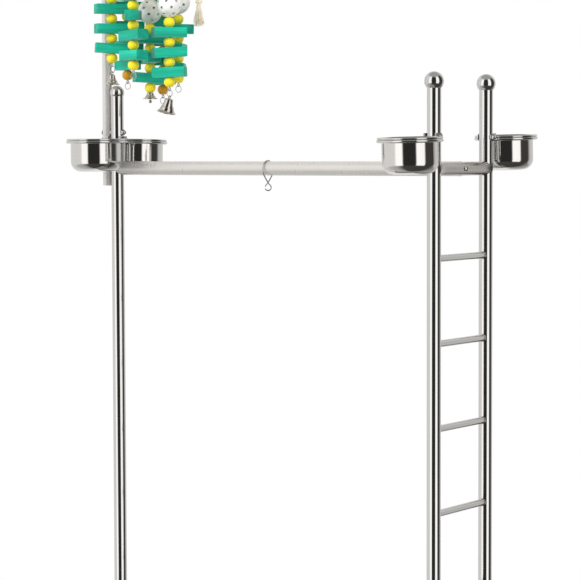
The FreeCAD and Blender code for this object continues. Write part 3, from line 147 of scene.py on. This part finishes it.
# Degrees round from the camera to its right, and how bright the studio looks there in polished
# steel: at the walls, and on the ground in front and behind.
WALLS = [(-180, 0.76), (-70, 0.78), (-61, 1.25), (-37, 1.25), (-31, 0.026), (19, 0.026),
         (25, 1.25), (56, 1.2), (62, 0.05), (101, 0.05), (117, 0.62), (180, 0.76)]
GROUND = [(-180, 0.95), (-150, 0.8), (-100, 0.5), (-70, 0.42), (-35, 0.06), (90, 0.05),
          (125, 0.3), (152, 0.45), (172, 0.9), (180, 0.95)]
CEILING = 0.40
away = math.radians(TURN)
TO_CAMERA = (math.sin(away), -math.cos(away), 0)
TO_RIGHT = (math.cos(away), math.sin(away), 0)

world = bpy.data.worlds.new("studio")
bpy.context.scene.world = world
world.use_nodes = True
world.node_tree.nodes.clear()
studio = Finish(world.node_tree)
way = studio.node("ShaderNodeTexCoord", out="Generated")
round_from_camera = studio.sum("ARCTAN2", way.vector("DOT_PRODUCT", TO_RIGHT, "Value"),
                               way.vector("DOT_PRODUCT", TO_CAMERA, "Value"))
share = round_from_camera * (0.5 / math.pi) + 0.5
walls, ground = (
    studio.node("ShaderNodeValToRGB",
                {"stops": [((turn + 180) / 360, warm(level)) for turn, level in levels]},
                {0: share})
    for levels in (WALLS, GROUND))
height = way.part(2)
mirrored = height.step(0.62, 0.86).mix(walls, warm(CEILING))
mirrored = height.step(-0.5, -0.3).mix(ground, mirrored)
# Matt faces take a softer light than that, stronger from above and from the front left.
KEY = Vector((-0.35, -0.75, 0.5)).normalized()
soft = height * 0.5 + way.vector("DOT_PRODUCT", tuple(KEY), "Value") * 0.5 + 1.05
soft = studio.node("ShaderNodeCombineXYZ", (), {0: soft, 1: soft, 2: soft})
diffuse = studio.node("ShaderNodeLightPath", out="Is Diffuse Ray")
light = diffuse.mix(mirrored, soft)
lit = studio.node("ShaderNodeBackground", (), {"Color": light, "Strength": 1.0})
white = studio.node("ShaderNodeBackground", (), {"Color": grey(1.0), "Strength": 1.0})
by_eye = studio.node("ShaderNodeLightPath", out="Is Camera Ray")
shown = studio.node("ShaderNodeMixShader", (), {0: by_eye, 1: lit, 2: white})
studio.node("ShaderNodeOutputWorld", (), {"Surface": shown})


def begin(name):
    """A new material with nothing in it, and where its sums start."""
    material = bpy.data.materials.new(name)
    material.use_nodes = True
    material.node_tree.nodes.clear()
    return material, Finish(material.node_tree)


# The floor thins out to nothing towards its rim, so that it runs into the white around it.
FLOOR_RADIUS, THINS_FROM, THINS_TO, FLOOR_SIDES = 1.9, 0.75, 1.7, 64
floor_finish, start = begin("floor")
place = start.node("ShaderNodeTexCoord", out="Object")
out_from_middle = place.vector("LENGTH", (0, 0, 0), "Value")
pale = start.node("ShaderNodeBsdfDiffuse", (), {"Color": grey(0.82)})
clear = start.node("ShaderNodeBsdfTransparent", (), {"Color": grey(1.0)})
start.node("ShaderNodeOutputMaterial", (), {"Surface": start.node(
    "ShaderNodeMixShader", (), {0: out_from_middle.step(THINS_FROM, THINS_TO), 1: pale, 2: clear})})
floor_mesh = bpy.data.meshes.new("floor")
floor_mesh.from_pydata(
    [(FLOOR_RADIUS * math.cos(a * 2 * math.pi / FLOOR_SIDES),
      FLOOR_RADIUS * math.sin(a * 2 * math.pi / FLOOR_SIDES), 0)
     for a in range(FLOOR_SIDES)], [], [range(FLOOR_SIDES)])
floor_mesh.materials.append(floor_finish)
floor = bpy.data.objects.new("floor", floor_mesh)
floor.visible_glossy = False
bpy.context.scene.collection.objects.link(floor)

# Each window's place and size in metres, and its power in watts. Both face the perch.
LAMPS_FACE = Vector((0, 0, 0.9))
for name, place, size, power in (("window_left", (-1.6, -3.4, 2.9), 1.6, 60),
                                 ("window_right", (3.6, 0.6, 2.6), 1.4, 22)):
    window = bpy.data.lights.new(name, "AREA")
    window.size, window.energy = size, power
    lamp = bpy.data.objects.new(name, window)
    lamp.location, lamp.visible_glossy = place, False
    lamp.rotation_euler = (LAMPS_FACE - Vector(place)).to_track_quat("-Z", "Y").to_euler()
    bpy.context.scene.collection.objects.link(lamp)


# ---- Base ----
# Two long rails and two cross tubes of 30 mm square stainless tube, satin all over, pressed
# with black plastic caps at the rails' ends and bolted together through nut plugs.

def coat(material, start, sockets):
    """Ends a material: its shader's sockets take plain values or what the sums gave."""
    shader = start.node("ShaderNodeBsdfPrincipled", (), sockets)
    start.node("ShaderNodeOutputMaterial", (), {"Surface": shader})
    return material


def steel(name, tint, roughness, lines, depth, cloud=0.05, axis=None, metal=1.0):
    """Stainless steel. lines is how close its polishing lines lie along X, Y and Z, per metre.
    Where it was spun, they lie around the upright axis instead, at an X and a Y. A satin skin,
    whose scratches scatter light every way, is a little less than all metal."""
    material, start = begin(name)
    place = start.node("ShaderNodeTexCoord", out="Object")
    if axis is None:
        along = place
    else:
        flat = place.vector("SUBTRACT", (*axis, 0)).vector("MULTIPLY", (1, 1, 0))
        ring = flat.vector("LENGTH", (0, 0, 0), "Value")
        along = start.node("ShaderNodeCombineXYZ", (), {0: ring, 1: 0.0, 2: place.part(2)})
    scratches = along.noise(1.0, 3.0, stretch=lines)
    clouds = place.noise(11.0, 4.0)
    rubbed = place.noise(70.0, 3.0).step(0.52, 0.7)
    dull = tuple(c * 0.9 for c in tint[:3])
    return coat(material, start, {
        "Metallic": metal,
        "Base Color": (clouds * 0.7 + scratches * 0.3).mix((*dull, 1), tint),
        "Roughness": roughness + (clouds - 0.5) * cloud + (scratches - 0.5) * cloud
        + rubbed * (cloud * 0.3),
        "Normal": scratches.bump(depth),
    })


def wear(material, *names):
    """Gives these nodes a finish."""
    for name in names:
        for place in nodes[name].material_slots:
            place.material = material


def moulded(name, colour, dusty, roughness, pebble=900.0):
    """Hard plastic with the fine grain of its mould, and dust and scuffs on it."""
    material, start = begin(name)
    place = start.node("ShaderNodeTexCoord", out="Object")
    dust = place.noise(38.0, 5.0).step(0.45, 0.75)
    scuffs = place.noise(1.0, 3.0, stretch=(60, 60, 420)).step(0.6, 0.72)
    return coat(material, start, {
        "Base Color": (dust * 0.6 + scuffs * 0.3).mix(colour, dusty),
        "Roughness": roughness + dust * 0.12 + scuffs * 0.1,
        "Normal": place.noise(pebble, 2.0).bump(0.00004),
    })


SATIN = (0.72, 0.70, 0.67, 1)
wear(steel("satin_rail", SATIN, 0.30, (25, 700, 700), 0.000012),
     "base_rail_front", "base_rail_back")
wear(steel("satin_cross_tube", SATIN, 0.30, (700, 25, 700), 0.000012),
     "base_cross_left", "base_cross_right")
wear(moulded("black_cap", grey(0.012), grey(0.05), 0.42), "rail_end_caps")

BOLT = (0.74, 0.73, 0.71, 1)
bolt_finish = steel("bolt_steel", BOLT, 0.2, (500, 500, 500), 0.000012, 0.12)
wear(bolt_finish, "cross_bolts", "post_foot_bolts", "perch_screw", "pole_bolts", "ring_bolts",
     "acorn_nuts", "pole_spacers")


# ---- Casters ----
# Four 75 mm casters: zinc plated stems and pressed forks, hard black wheels whose treads are
# scuffed where they roll.

def plated(name):
    """Zinc plate: a cool and a straw sheen in patches, with a fine spangle."""
    material, start = begin(name)
    place = start.node("ShaderNodeTexCoord", out="Object")
    patches = place.noise(55.0, 3.0).step(0.35, 0.7)
    spangle = start.node("ShaderNodeTexVoronoi", (), {"Vector": place, "Scale": 420.0})
    return coat(material, start, {
        "Metallic": 1.0,
        "Base Color": (patches * 0.8 + spangle * 0.2).mix((0.60, 0.63, 0.68, 1),
                                                          (0.72, 0.69, 0.62, 1)),
        "Roughness": 0.24 + patches * 0.1 + spangle * 0.12,
        "Normal": spangle.bump(0.00003),
    })


zinc = plated("zinc_plate")
CORNERS = ("front_left", "front_right", "back_left", "back_right")
wear(zinc, "caster_stems", "cross_nut_plugs", "post_foot_plugs", "perch_end_plugs",
     *(f"caster_fork_{corner}" for corner in CORNERS))

AXLE_X, AXLE_Z, WHEEL_RADIUS = 400 * MM, 37.5 * MM, 37.5 * MM
wheel_finish, start = begin("wheel_plastic")
place = start.node("ShaderNodeTexCoord", out="Object")
out_x = start.sum("ABSOLUTE", place.part(0)) - AXLE_X
out_z = place.part(2) - AXLE_Z
radius = start.node("ShaderNodeCombineXYZ", (), {0: out_x, 1: out_z}).vector(
    "LENGTH", (0, 0, 0), "Value")
tread = radius.step(WHEEL_RADIUS - 2.5 * MM, WHEEL_RADIUS - 0.6 * MM)
grit = place.noise(260.0, 5.0)
scuffed = tread * grit.step(0.35, 0.65)
coat(wheel_finish, start, {
    "Base Color": (scuffed * 0.8 + place.noise(30.0, 4.0).step(0.5, 0.8) * 0.25).mix(
        grey(0.014), seen(104, 101, 97)),
    "Roughness": 0.36 + scuffed * 0.35,
    "Normal": (grit * (tread * 0.8 + 0.2)).bump(0.00012),
})
wear(wheel_finish, *(f"caster_wheel_{corner}" for corner in CORNERS))


# ---- Tray ----
# A pan of thin stainless sheet laid in the base, its sides folded up. The sheet was brushed
# along its length before it was folded, and its floor is rubbed where it is wiped.

tray_finish, start = begin("brushed_sheet")
place = start.node("ShaderNodeTexCoord", out="Object")
brushed = place.noise(1.0, 4.0, stretch=(9, 850, 850))
wiped = place.noise(5.0, 5.0).step(0.35, 0.75)
spots = place.noise(120.0, 2.0).step(0.66, 0.72)
coat(tray_finish, start, {
    "Metallic": 1.0,
    "Base Color": (brushed * 0.5 + wiped * 0.4 - spots * 0.5).mix((0.58, 0.57, 0.55, 1),
                                                                  (0.78, 0.77, 0.74, 1)),
    "Roughness": 0.31 + wiped * 0.07 + (brushed - 0.5) * 0.14 + spots * 0.1,
    "Normal": brushed.bump(0.000003),
})
wear(tray_finish, "tray")


# ---- Posts, finials and ladder ----
# Three posts of 25.4 mm stainless tube, polished to a mirror after welding, with a turned ball
# on each. Six 12.7 mm rod rungs and the head bar are welded between the two ladder posts.

MIRROR = (0.80, 0.80, 0.79, 1)
wear(steel("polished_post", MIRROR, 0.075, (60, 60, 500), 0.000001, 0.04),
     "left_post", "ladder_post_front", "ladder_post_back")
wear(steel("polished_ball", MIRROR, 0.07, (300, 300, 700), 0.000003, 0.04), "finials")
wear(steel("polished_rung", MIRROR, 0.12, (60, 500, 60), 0.000004, 0.06), "ladder_rungs")
wear(steel("satin_head_bar", (0.64, 0.62, 0.60, 1), 0.2, (60, 600, 60), 0.000006, 0.08),
     "ladder_head_bar")


def skin(loops, closed):
    """Points and faces of a surface laid over loops of as many points each. It joins up with its
    own start where closed, and is capped at both ends where not."""
    count = len(loops[0])
    points = [point for loop in loops for point in loop]
    faces = []
    for row in range(len(loops) if closed else len(loops) - 1):
        near, far = row * count, (row + 1) % len(loops) * count
        faces += [(near + k, near + (k + 1) % count, far + (k + 1) % count, far + k)
                  for k in range(count)]
    if not closed:
        last = len(points) - count
        faces += [tuple(reversed(range(count))), tuple(range(last, last + count))]
    return points, faces


def rounded(line, radii, sides, closed=False):
    """Loops about a line of points, for a round bar along it. They turn as little as they can."""
    loops, side = [], None
    for k, point in enumerate(line):
        before = line[k - 1] if k or closed else point
        after = line[(k + 1) % len(line)] if k + 1 < len(line) or closed else point
        ahead = (after - before).normalized()
        side = ahead.orthogonal() if side is None else side - ahead * side.dot(ahead)
        side.normalize()
        across = ahead.cross(side)
        angles = [2 * math.pi * n / sides for n in range(sides)]
        loops.append([point + (side * math.cos(a) + across * math.sin(a)) * radii[k]
                      for a in angles])
    return loops


def piece(name, body, material, skins, facts=()):
    """A new piece from one or more skins. It rides on a body and takes its finish from a slot.
    facts are further numbers that its finish reads, one for each point."""
    points, faces = [], []
    for more_points, more_faces in skins:
        faces += [tuple(len(points) + k for k in face) for face in more_faces]
        points += more_points
    mesh = bpy.data.meshes.new(name)
    mesh.from_pydata(points, [], faces)
    mesh.materials.append(material)
    mesh.shade_smooth()
    mesh.set_sharp_from_angle(angle=math.radians(40))
    for fact, kind, values in facts:
        store = mesh.attributes.new(fact, kind, "POINT")
        store.data.foreach_set("vector" if kind == "FLOAT_VECTOR" else "value", values)
    made = bpy.data.objects.new(name, mesh)
    bpy.context.scene.collection.objects.link(made)
    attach(made, body)
    return made


# The weld beads that run round each rung where it meets the posts.
POST_RADIUS, POST_X, POST_Y = 12.7 * MM, 395 * MM, 93 * MM
RUNG_RADIUS = 6.35 * MM
RUNG_HEIGHTS = [(219 + 152.4 * k) * MM for k in range(6)]
WELD, WELD_STEPS, WELD_SIDES = 1.1 * MM, 48, 10


def weld(height, bar_radius, end):
    """A weld bead round a bar of this radius, against the post at one end of it."""
    line = []
    for k in range(WELD_STEPS):
        angle = 2 * math.pi * k / WELD_STEPS
        out = bar_radius * math.cos(angle)
        depth = math.sqrt(max(POST_RADIUS ** 2 - out ** 2, 0))
        line.append(Vector((POST_X + out, end * (POST_Y - depth),
                            height + bar_radius * math.sin(angle))))
    ripple = [WELD * (1 + 0.12 * math.cos(k * math.pi / 2)) for k in range(WELD_STEPS)]
    return skin(rounded(line, ripple, WELD_SIDES, closed=True), True)


piece("rung_welds", "stand",
      steel("weld_steel", (0.70, 0.68, 0.65, 1), 0.18, (400, 400, 400), 0.00001, 0.12),
      [weld(height, RUNG_RADIUS, end) for height in RUNG_HEIGHTS for end in (-1, 1)])


# ---- Perch ----
# A 27 mm stainless tube from post to ladder, satin polished round and round. Feet have rubbed
# it a little brighter along the top.

PERCH_Z = 1140 * MM
perch_finish, start = begin("satin_perch")
place = start.node("ShaderNodeTexCoord", out="Object")
lines = place.noise(1.0, 4.0, stretch=(620, 70, 70))
clouds = place.noise(16.0, 4.0)
scratched = place.noise(1.0, 2.0, stretch=(140, 26, 26)).step(0.62, 0.74)
top = (place.part(2) - PERCH_Z).step(4 * MM, 13 * MM)
coat(perch_finish, start, {
    "Metallic": 0.5,
    "Base Color": (clouds * 0.5 + lines * 0.3 + top * 0.2).mix((0.55, 0.535, 0.51, 1),
                                                               (0.65, 0.635, 0.605, 1)),
    "Roughness": 0.33 - top * 0.04 + (clouds - 0.5) * 0.08 + (lines - 0.5) * 0.1
    - scratched * 0.08,
    "Normal": (lines + scratched * 0.5).bump(0.00001),
})
wear(perch_finish, "perch")


# ---- Cup rings and cups ----
# Each cup is spun from stainless sheet, rolled over at the rim and polished inside and out. It
# drops into a ring of polished rod that is bolted to a post.

SPUN = (0.83, 0.82, 0.80, 1)
CUPS = ("left_front", "left_back", "ladder_front", "ladder_back")
for cup in CUPS:
    low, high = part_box(f"cup_{cup}")
    middle = [(low[k] + high[k]) / 2 for k in (0, 1)]
    wear(steel(f"spun_{cup}", SPUN, 0.07, (420, 0, 260), 0.000005, 0.05, axis=middle),
         f"cup_{cup}")
ring_finish = steel("polished_rod", MIRROR, 0.1, (200, 200, 200), 0.000004, 0.06)
wear(ring_finish, *(f"cup_ring_{cup}" for cup in CUPS))


# ---- Pole, crook and link ----
# The toy's pole is one 19 mm stainless tube bent to a crook, satin polished along its length.
# A black plug closes the crook, and a zinc plated eye and link hang from it.

wear(steel("satin_pole", (0.68, 0.66, 0.64, 1), 0.48, (80, 80, 420), 0.000006, 0.07,
           metal=0.5), "toy_pole")
wear(moulded("black_plug", grey(0.016), grey(0.06), 0.4), "crook_plug")
wear(zinc, "crook_screw_eye", "quick_link", "plate_eye_bolt")


# ---- Toy plate ----
# A disc turned from one board of pale unfinished wood. Its grain runs straight across the
# faces, and the rim shows it end on.

def timber(start, place, own, along, light, dark, pores):
    """Wood's colour and the height of its grain, for a board whose length lies along an axis."""
    stretch = tuple(9.0 if k == along else 130.0 for k in range(3))
    fine = tuple(40.0 if k == along else 900.0 for k in range(3))
    broad = place.noise(1.0, 3.0, own, tuple(s * 0.45 for s in stretch))
    rings = place.noise(1.0, 4.0, own, stretch)
    pits = place.noise(1.0, 3.0, own, fine).step(0.56, 0.72)
    tone = (broad * 0.55 + rings * 0.55).step(0.35, 0.75)
    colour = tone.mix(light, dark)
    return (pits * pores).mix(colour, tuple(c * 0.45 for c in dark[:3]) + (1,)), \
        rings * 0.5 - pits * 0.6


plate_finish, start = begin("board")
place = start.node("ShaderNodeTexCoord", out="Object")
colour, relief = timber(start, place, None, 0, seen(226, 190, 142), seen(186, 139, 92), 0.5)
coat(plate_finish, start, {
    "Base Color": colour,
    "Roughness": 0.62 - relief * 0.1,
    "Normal": relief.bump(0.00018),
})
wear(plate_finish, "toy_plate")


# ---- Strands ----
# Seven strands of bright plated wire, each looped at both ends, are threaded with blocks,
# barrel beads and hollow balls. Split rings and bells hang from their low loops.

WIRE = (0.78, 0.78, 0.78, 1)
wire_finish = steel("plated_wire", WIRE, 0.14, (300, 300, 300), 0.000006, 0.08)
wear(wire_finish, "strand_wires", "split_rings")

TOY_X, PLATE_LOW, GAP = -318.9, 1531.2, 0.25
TALL = {"b": 19.2, "s": 19.0, "o": 48.0}
# Place about the toy's axis, free wire under the plate, the pieces from the top down (b bead,
# s slat, o ball), each slat's turn about the wire and its lean, in millimetres and degrees.
STRANDS = {
    "a": (-54.0, -42.5, 10.0, "bsbsbsbsb", (37, 55, 56, 44), (2, 0, 0, -3)),
    "b": (16.6, -63.8, 26.0, "bsbsbsbsb", (-9, -58, -16, -20), (0, -2, 3, 0)),
    "c": (0.0, 10.0, 19.7, "sbobsbsbsb", (-63, 74, -36, 50), (0, 0, 2, -3)),
    "d": (71.0, -20.0, 30.0, "bobsbsbsb", (53, 54, 24), (0, 3, 2)),
    "e": (39.0, 51.0, 19.7, "bobsbsbsb", (-11, -62, -57), (-2, 0, 0)),
    "f": (-16.0, 72.0, 31.5, "bsbsbsbsbsb", (52, 44, 73, 42, -27), (0, 0, 2, 0, 0)),
    "g": (-53.6, 6.0, 13.0, "osbsbsbsb", (49, 49, -6, -24), (0, 0, 0, 0)),
}
places = {"b": [], "s": [], "o": []}       # strand, place in its stack, matrix
for letter, (x, y, slack, stack, turns, leans) in STRANDS.items():
    z, turn, lean = PLATE_LOW - slack, iter(turns), iter(leans)
    for number, kind in enumerate(stack):
        at = Matrix.Translation(Vector((TOY_X + x, y, z - TALL[kind] / 2)) * MM)
        if kind == "s":
            at = (at @ Matrix.Rotation(math.radians(next(turn)), 4, "Z")
                  @ Matrix.Rotation(math.radians(-next(lean)), 4, "Y"))
        places[kind].append((letter, number, at))
        z -= TALL[kind] + GAP


# ---- Slats ----
# Twenty-seven blocks of pine, 66 by 27 by 19 mm, drilled through and dipped in teal stain. The
# grain shows through it, and the sanded edges took less of it. The end faces are darker: partly
# end grain that soaks up more stain, partly painted shade.

LONG, WIDE, THICK, CORNER, HOLE, EDGE = 66.0, 27.0, 19.0, 2.0, 4.0, 0.9


def slat_outline(inset, height):
    """The slat's outline drawn in by this much, at this height: 32 points, in metres."""
    outline = []
    corner = max(CORNER - inset, 0.4)
    half_x, half_y = LONG / 2 - inset - corner, WIDE / 2 - inset - corner
    for quarter in range(4):
        side_x, side_y = (1, -1, -1, 1)[quarter], (1, 1, -1, -1)[quarter]
        for k in range(5):
            angle = math.pi / 2 * (quarter + k / 4)
            outline.append((side_x * half_x + corner * math.cos(angle),
                            side_y * half_y + corner * math.sin(angle)))
        next_x, next_y = (-1, -1, 1, 1)[quarter], (1, -1, -1, 1)[quarter]
        end = (outline[-1][0], outline[-1][1])
        angle = math.pi / 2 * (quarter + 1)
        begin_next = (next_x * half_x + corner * math.cos(angle),
                      next_y * half_y + corner * math.sin(angle))
        outline += [tuple(end[i] + (begin_next[i] - end[i]) * k / 4 for i in (0, 1))
                    for k in (1, 2, 3)]
    return [Vector((x, y, height)) * MM for x, y in outline]


def slat_loops():
    rim = slat_outline(0, 0)
    hole = [Vector((p.x, p.y, 0)).normalized() * (HOLE / 2 * MM) for p in rim]
    rounding = [math.pi / 2 * k / 3 for k in range(4)]
    low = [slat_outline(EDGE * (1 - math.sin(a)), -THICK / 2 + EDGE * (1 - math.cos(a)))
           for a in rounding]
    high = [slat_outline(EDGE * (1 - math.sin(a)), THICK / 2 - EDGE * (1 - math.cos(a)))
            for a in reversed(rounding)]
    foot, head = Vector((0, 0, -THICK / 2 * MM)), Vector((0, 0, THICK / 2 * MM))
    return [[p + foot for p in hole], *low, *high, [p + head for p in hole]]


def copies(loops, kind, seed):
    """The skins of a piece at all its places, with two facts for each point: its place in its
    own piece, and a number of that piece's own."""
    points, faces = skin(loops, True)
    draw = random.Random(seed)
    skins, own_places, own_numbers = [], [], []
    for letter, number, at in places[kind]:
        own = draw.random()
        skins.append(([at @ p for p in points], faces))
        own_places += [c for p in points for c in p]
        own_numbers += [own] * len(points)
    return skins, [("place", "FLOAT_VECTOR", own_places), ("own", "FLOAT", own_numbers)]


def fact(start, name, out):
    return start.node("ShaderNodeAttribute", {"attribute_name": name}, out=out)


slat_finish, start = begin("teal_stain")
place, own = fact(start, "place", "Vector"), fact(start, "own", "Fac")
colour, relief = timber(start, place, own * 40, 0, seen(0, 194, 160), seen(0, 148, 122), 0.4)
in_x = LONG / 2 * MM - start.sum("ABSOLUTE", place.part(0))
in_y = WIDE / 2 * MM - start.sum("ABSOLUTE", place.part(1))
in_z = THICK / 2 * MM - start.sum("ABSOLUTE", place.part(2))
from_edge = start.sum("MAXIMUM", start.sum("MINIMUM", in_x, in_y),
                      start.sum("MINIMUM", start.sum("MAXIMUM", in_x, in_y), in_z))
worn = (from_edge + place.noise(260.0, 3.0, own * 40) * (1.4 * MM)).step(0.5 * MM, 1.5 * MM, 1, 0)
# End faces are mixed towards a dark teal: partly end grain taking more stain, partly painted shade,
# the teal of a face turned from the light.
end_grain_and_painted_shade = in_x.step(0, 1.2 * MM, 1, 0)
tinted = own.mix((0.80, 0.86, 0.84, 1), (1.12, 1.06, 1.05, 1))
stain = start.node("ShaderNodeMix", {"data_type": "RGBA", "blend_type": "MULTIPLY"},
                   {0: 1.0, 6: colour, 7: tinted}, 2)
stain = (end_grain_and_painted_shade * 0.35).mix(stain, seen(0, 112, 92))
coat(slat_finish, start, {
    "Base Color": (worn * 0.35).mix(stain, seen(90, 214, 184)),
    "Roughness": 0.46 - relief * 0.12 + worn * 0.15,
    "Specular IOR Level": 0.3,
    "Normal": relief.bump(0.00012),
})
skins, facts = copies(slat_loops(), "s", 3)
slats = piece("slats", "toy", slat_finish, skins, facts)
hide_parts("toy_slats")
slats.visible_glossy = False      # polished pieces beside them mirror only the studio


# ---- Beads ----
# Thirty-five turned wooden barrel beads, dipped in yellow gloss. The lowest beads on two of the
# strands are a darker orange: painted shade, for the shade they hang in at the back of the toy.
# The flat ends are rubbed where they meet their neighbours.

BEAD_ROUND, BEAD_END, BEAD_TALL = 22.0, 9.0, TALL["b"]
BEAD_STEPS, BEAD_SIDES = 12, 32


def bead_loops():
    bulge, end, half = BEAD_ROUND / 2, BEAD_END / 2, BEAD_TALL / 2
    middle = (bulge ** 2 - end ** 2 - half ** 2) / (2 * (bulge - end))
    sweep = math.atan2(half, end - middle)
    profile = [(HOLE / 2, -half)]
    for k in range(BEAD_STEPS + 1):
        angle = sweep * (2 * k / BEAD_STEPS - 1)
        profile.append((middle + (bulge - middle) * math.cos(angle),
                        (bulge - middle) * math.sin(angle)))
    profile.append((HOLE / 2, half))
    return [[Vector((r * math.cos(2 * math.pi * n / BEAD_SIDES),
                     r * math.sin(2 * math.pi * n / BEAD_SIDES), z)) * MM
             for n in range(BEAD_SIDES)] for r, z in profile]


bead_finish, start = begin("yellow_gloss")
place, own = fact(start, "place", "Vector"), fact(start, "own", "Fac")
painted_shade_bead = fact(start, "painted_shade_bead", "Fac")
turned = place.noise(1.0, 3.0, own * 40, (120, 120, 700))
thin = place.noise(150.0, 4.0, own * 40).step(0.45, 0.8)
end_on = start.sum("ABSOLUTE", place.part(2)).step(8.2 * MM, 9.5 * MM)
# Painted shade: the lowest bead on strands f and g takes a darker orange instead of the yellow.
yellow = painted_shade_bead.mix(seen(236, 220, 34), seen(214, 158, 20))
deep = painted_shade_bead.mix(seen(220, 196, 18), seen(188, 126, 12))
coat(bead_finish, start, {
    "Base Color": (end_on * thin * 0.8).mix((thin * 0.6 + own * 0.3).mix(yellow, deep),
                                            seen(206, 176, 96)),
    "Roughness": 0.27 + thin * 0.12 + end_on * 0.2,
    "Normal": (turned + thin * 0.6).bump(0.00006),
})
skins, facts = copies(bead_loops(), "b", 5)
per_bead = len(skins[0][0])
lowest = {letter: len(STRANDS[letter][3]) - 1 for letter in "fg"}
facts.append(("painted_shade_bead", "FLOAT", [float(lowest.get(letter) == number)
                                 for letter, number, at in places["b"] for k in range(per_bead)]))
beads = piece("beads", "toy", bead_finish, skins, facts)
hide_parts("toy_beads")
beads.visible_glossy = False


# ---- Balls ----
# Four hollow blow-moulded balls of soft white plastic, with rows of air holes. They are a
# little dusty, and their walls let some light through.

ball_finish, start = begin("white_ball")
place = start.node("ShaderNodeTexCoord", out="Object")
dust = place.noise(60.0, 5.0).step(0.4, 0.8)
coat(ball_finish, start, {
    "Base Color": dust.mix(seen(231, 231, 228), seen(206, 205, 199)),
    "Roughness": 0.38 + dust * 0.14,
    "Normal": place.noise(420.0, 2.0).bump(0.00005),
    "Subsurface Weight": 0.12, "Subsurface Radius": (0.004, 0.004, 0.0035),
})
wear(ball_finish, "toy_air_balls")


# ---- Bells ----
# Three small bells pressed from steel and nickel plated, two tall and one flat, each with a
# clapper of its own.

bell_finish = steel("nickel_plate", (0.74, 0.70, 0.63, 1), 0.17, (220, 220, 220), 0.000005, 0.1)
wear(bell_finish, *(f"bell_{letter}" for letter in "acd"),
     *(f"bell_clapper_{letter}" for letter in "acd"))


# ---- Rope and tassel ----
# A 7 mm rope of three cotton strands, glued into the rim of the plate. It leans out, turns
# down and hangs, and ends in a knot whose tail is combed out to a tassel.

ROPE_HEADING, ROPE_TOP = math.radians(34.4), 1539.2
ROPE_ROUTE = [(80, 0), (88.5, -0.5), (97.5, -6.5), (102, -17), (103, -34), (103, -62)]
ROPE_THICK = 7.0
STRAND_OUT, STRAND_RADIUS, LAY = 1.72 * MM, 1.72 * MM, 23 * MM


def rope_place(out, drop):
    return Vector((TOY_X + out * math.cos(ROPE_HEADING), out * math.sin(ROPE_HEADING),
                   ROPE_TOP + drop)) * MM


line = bpy.data.curves.new("rope_line", "CURVE")
line.dimensions, line.resolution_u = "3D", 24
run = line.splines.new("NURBS")
run.points.add(len(ROPE_ROUTE) - 1)
for point, step in zip(run.points, ROPE_ROUTE):
    point.co = (*rope_place(*step), 1)
run.order_u = 3
run.use_endpoint_u = True
holder = bpy.data.objects.new("rope_line", line)
rope_line = [v.co.copy() for v in bpy.data.meshes.new_from_object(holder).vertices]
bpy.data.objects.remove(holder)


STRAND_SIDES = 12


def laid(points, closed=False):
    """Three strands twisted together along a line of points, each a round bar."""
    guides = rounded(points, [1.0] * len(points), 4, closed)
    gone, angles = 0.0, []
    for k, point in enumerate(points):
        gone += (point - points[k - 1]).length if k else 0
        angles.append(2 * math.pi * gone / LAY)
    if closed:
        whole = max(1, round(angles[-1] / (2 * math.pi)))
        angles = [a * whole * 2 * math.pi / angles[-1] for a in angles]
    made = []
    for strand in range(3):
        wound = []
        for point, guide, angle in zip(points, guides, angles):
            side, across = guide[0] - point, guide[1] - point
            a = angle + strand * 2 * math.pi / 3
            wound.append(point + (side * math.cos(a) + across * math.sin(a)) * STRAND_OUT)
        made.append(skin(rounded(wound, [STRAND_RADIUS] * len(wound), STRAND_SIDES, closed),
                         closed))
    return made


cotton, start = begin("cotton")
place = start.node("ShaderNodeTexCoord", out="Object")
fibres = place.noise(1400.0, 4.0)
tone = place.noise(120.0, 4.0)
coat(cotton, start, {
    "Base Color": (tone * 0.7 + fibres * 0.3).mix(seen(214, 200, 170), seen(250, 244, 228)),
    "Roughness": 0.85 + (fibres - 0.5) * 0.2,
    "Sheen Weight": 0.25, "Sheen Roughness": 0.5,
    "Normal": fibres.bump(0.00025),
})

rope = piece("rope", "toy", cotton, laid(rope_line))
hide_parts("toy_rope")

KNOT_TALL, KNOT_ROUND, TASSEL_TALL, TASSEL_ROUND = 14.0, 17.0, 38.0, 25.0
KNOT_STEPS, YARNS, YARN_STEPS, YARN, YARN_SIDES = 96, 90, 12, 0.5, 6
rope_end = rope_line[-1]
knot_line = []
reach = (KNOT_ROUND - ROPE_THICK) / 2 / 3
for k in range(KNOT_STEPS):
    t = 2 * math.pi * k / KNOT_STEPS
    knot_line.append(rope_end + Vector((
        reach * (math.sin(t) + 2 * math.sin(2 * t)), reach * (math.cos(t) - 2 * math.cos(2 * t)),
        -KNOT_TALL / 2 - (KNOT_TALL - ROPE_THICK) / 2 * math.sin(3 * t))) * MM)
tassel_skins = laid(knot_line, closed=True)
draw = random.Random(11)
for k in range(YARNS):
    angle = 2 * math.pi * draw.random()
    share = math.sqrt(draw.random())
    wave, phase = draw.uniform(0.2, 0.7), draw.uniform(0, 6.3)
    length = TASSEL_TALL * draw.uniform(0.9, 1.18)
    yarn = []
    for step in range(YARN_STEPS):
        t = step / (YARN_STEPS - 1)
        out = share * (3.2 + (TASSEL_ROUND / 2 - 1.2 - 3.2) * t ** 1.25)
        swing = angle + 0.25 * math.sin(phase + 5 * t) * t
        yarn.append(rope_end + Vector((
            out * math.cos(swing) + wave * math.sin(phase + 9 * t) * t,
            out * math.sin(swing) + wave * math.cos(phase + 8 * t) * t,
            -KNOT_TALL + 2.5 - (length + 2.5) * t)) * MM)
    tassel_skins.append(skin(rounded(yarn, [YARN * MM] * YARN_STEPS, YARN_SIDES), False))
tassel = piece("tassel", "toy", cotton, tassel_skins)
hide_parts("rope_tassel")


# ---- Perch hook ----
# A toy hook bent from bright wire, hung over the perch.

wear(wire_finish, "perch_toy_hook")
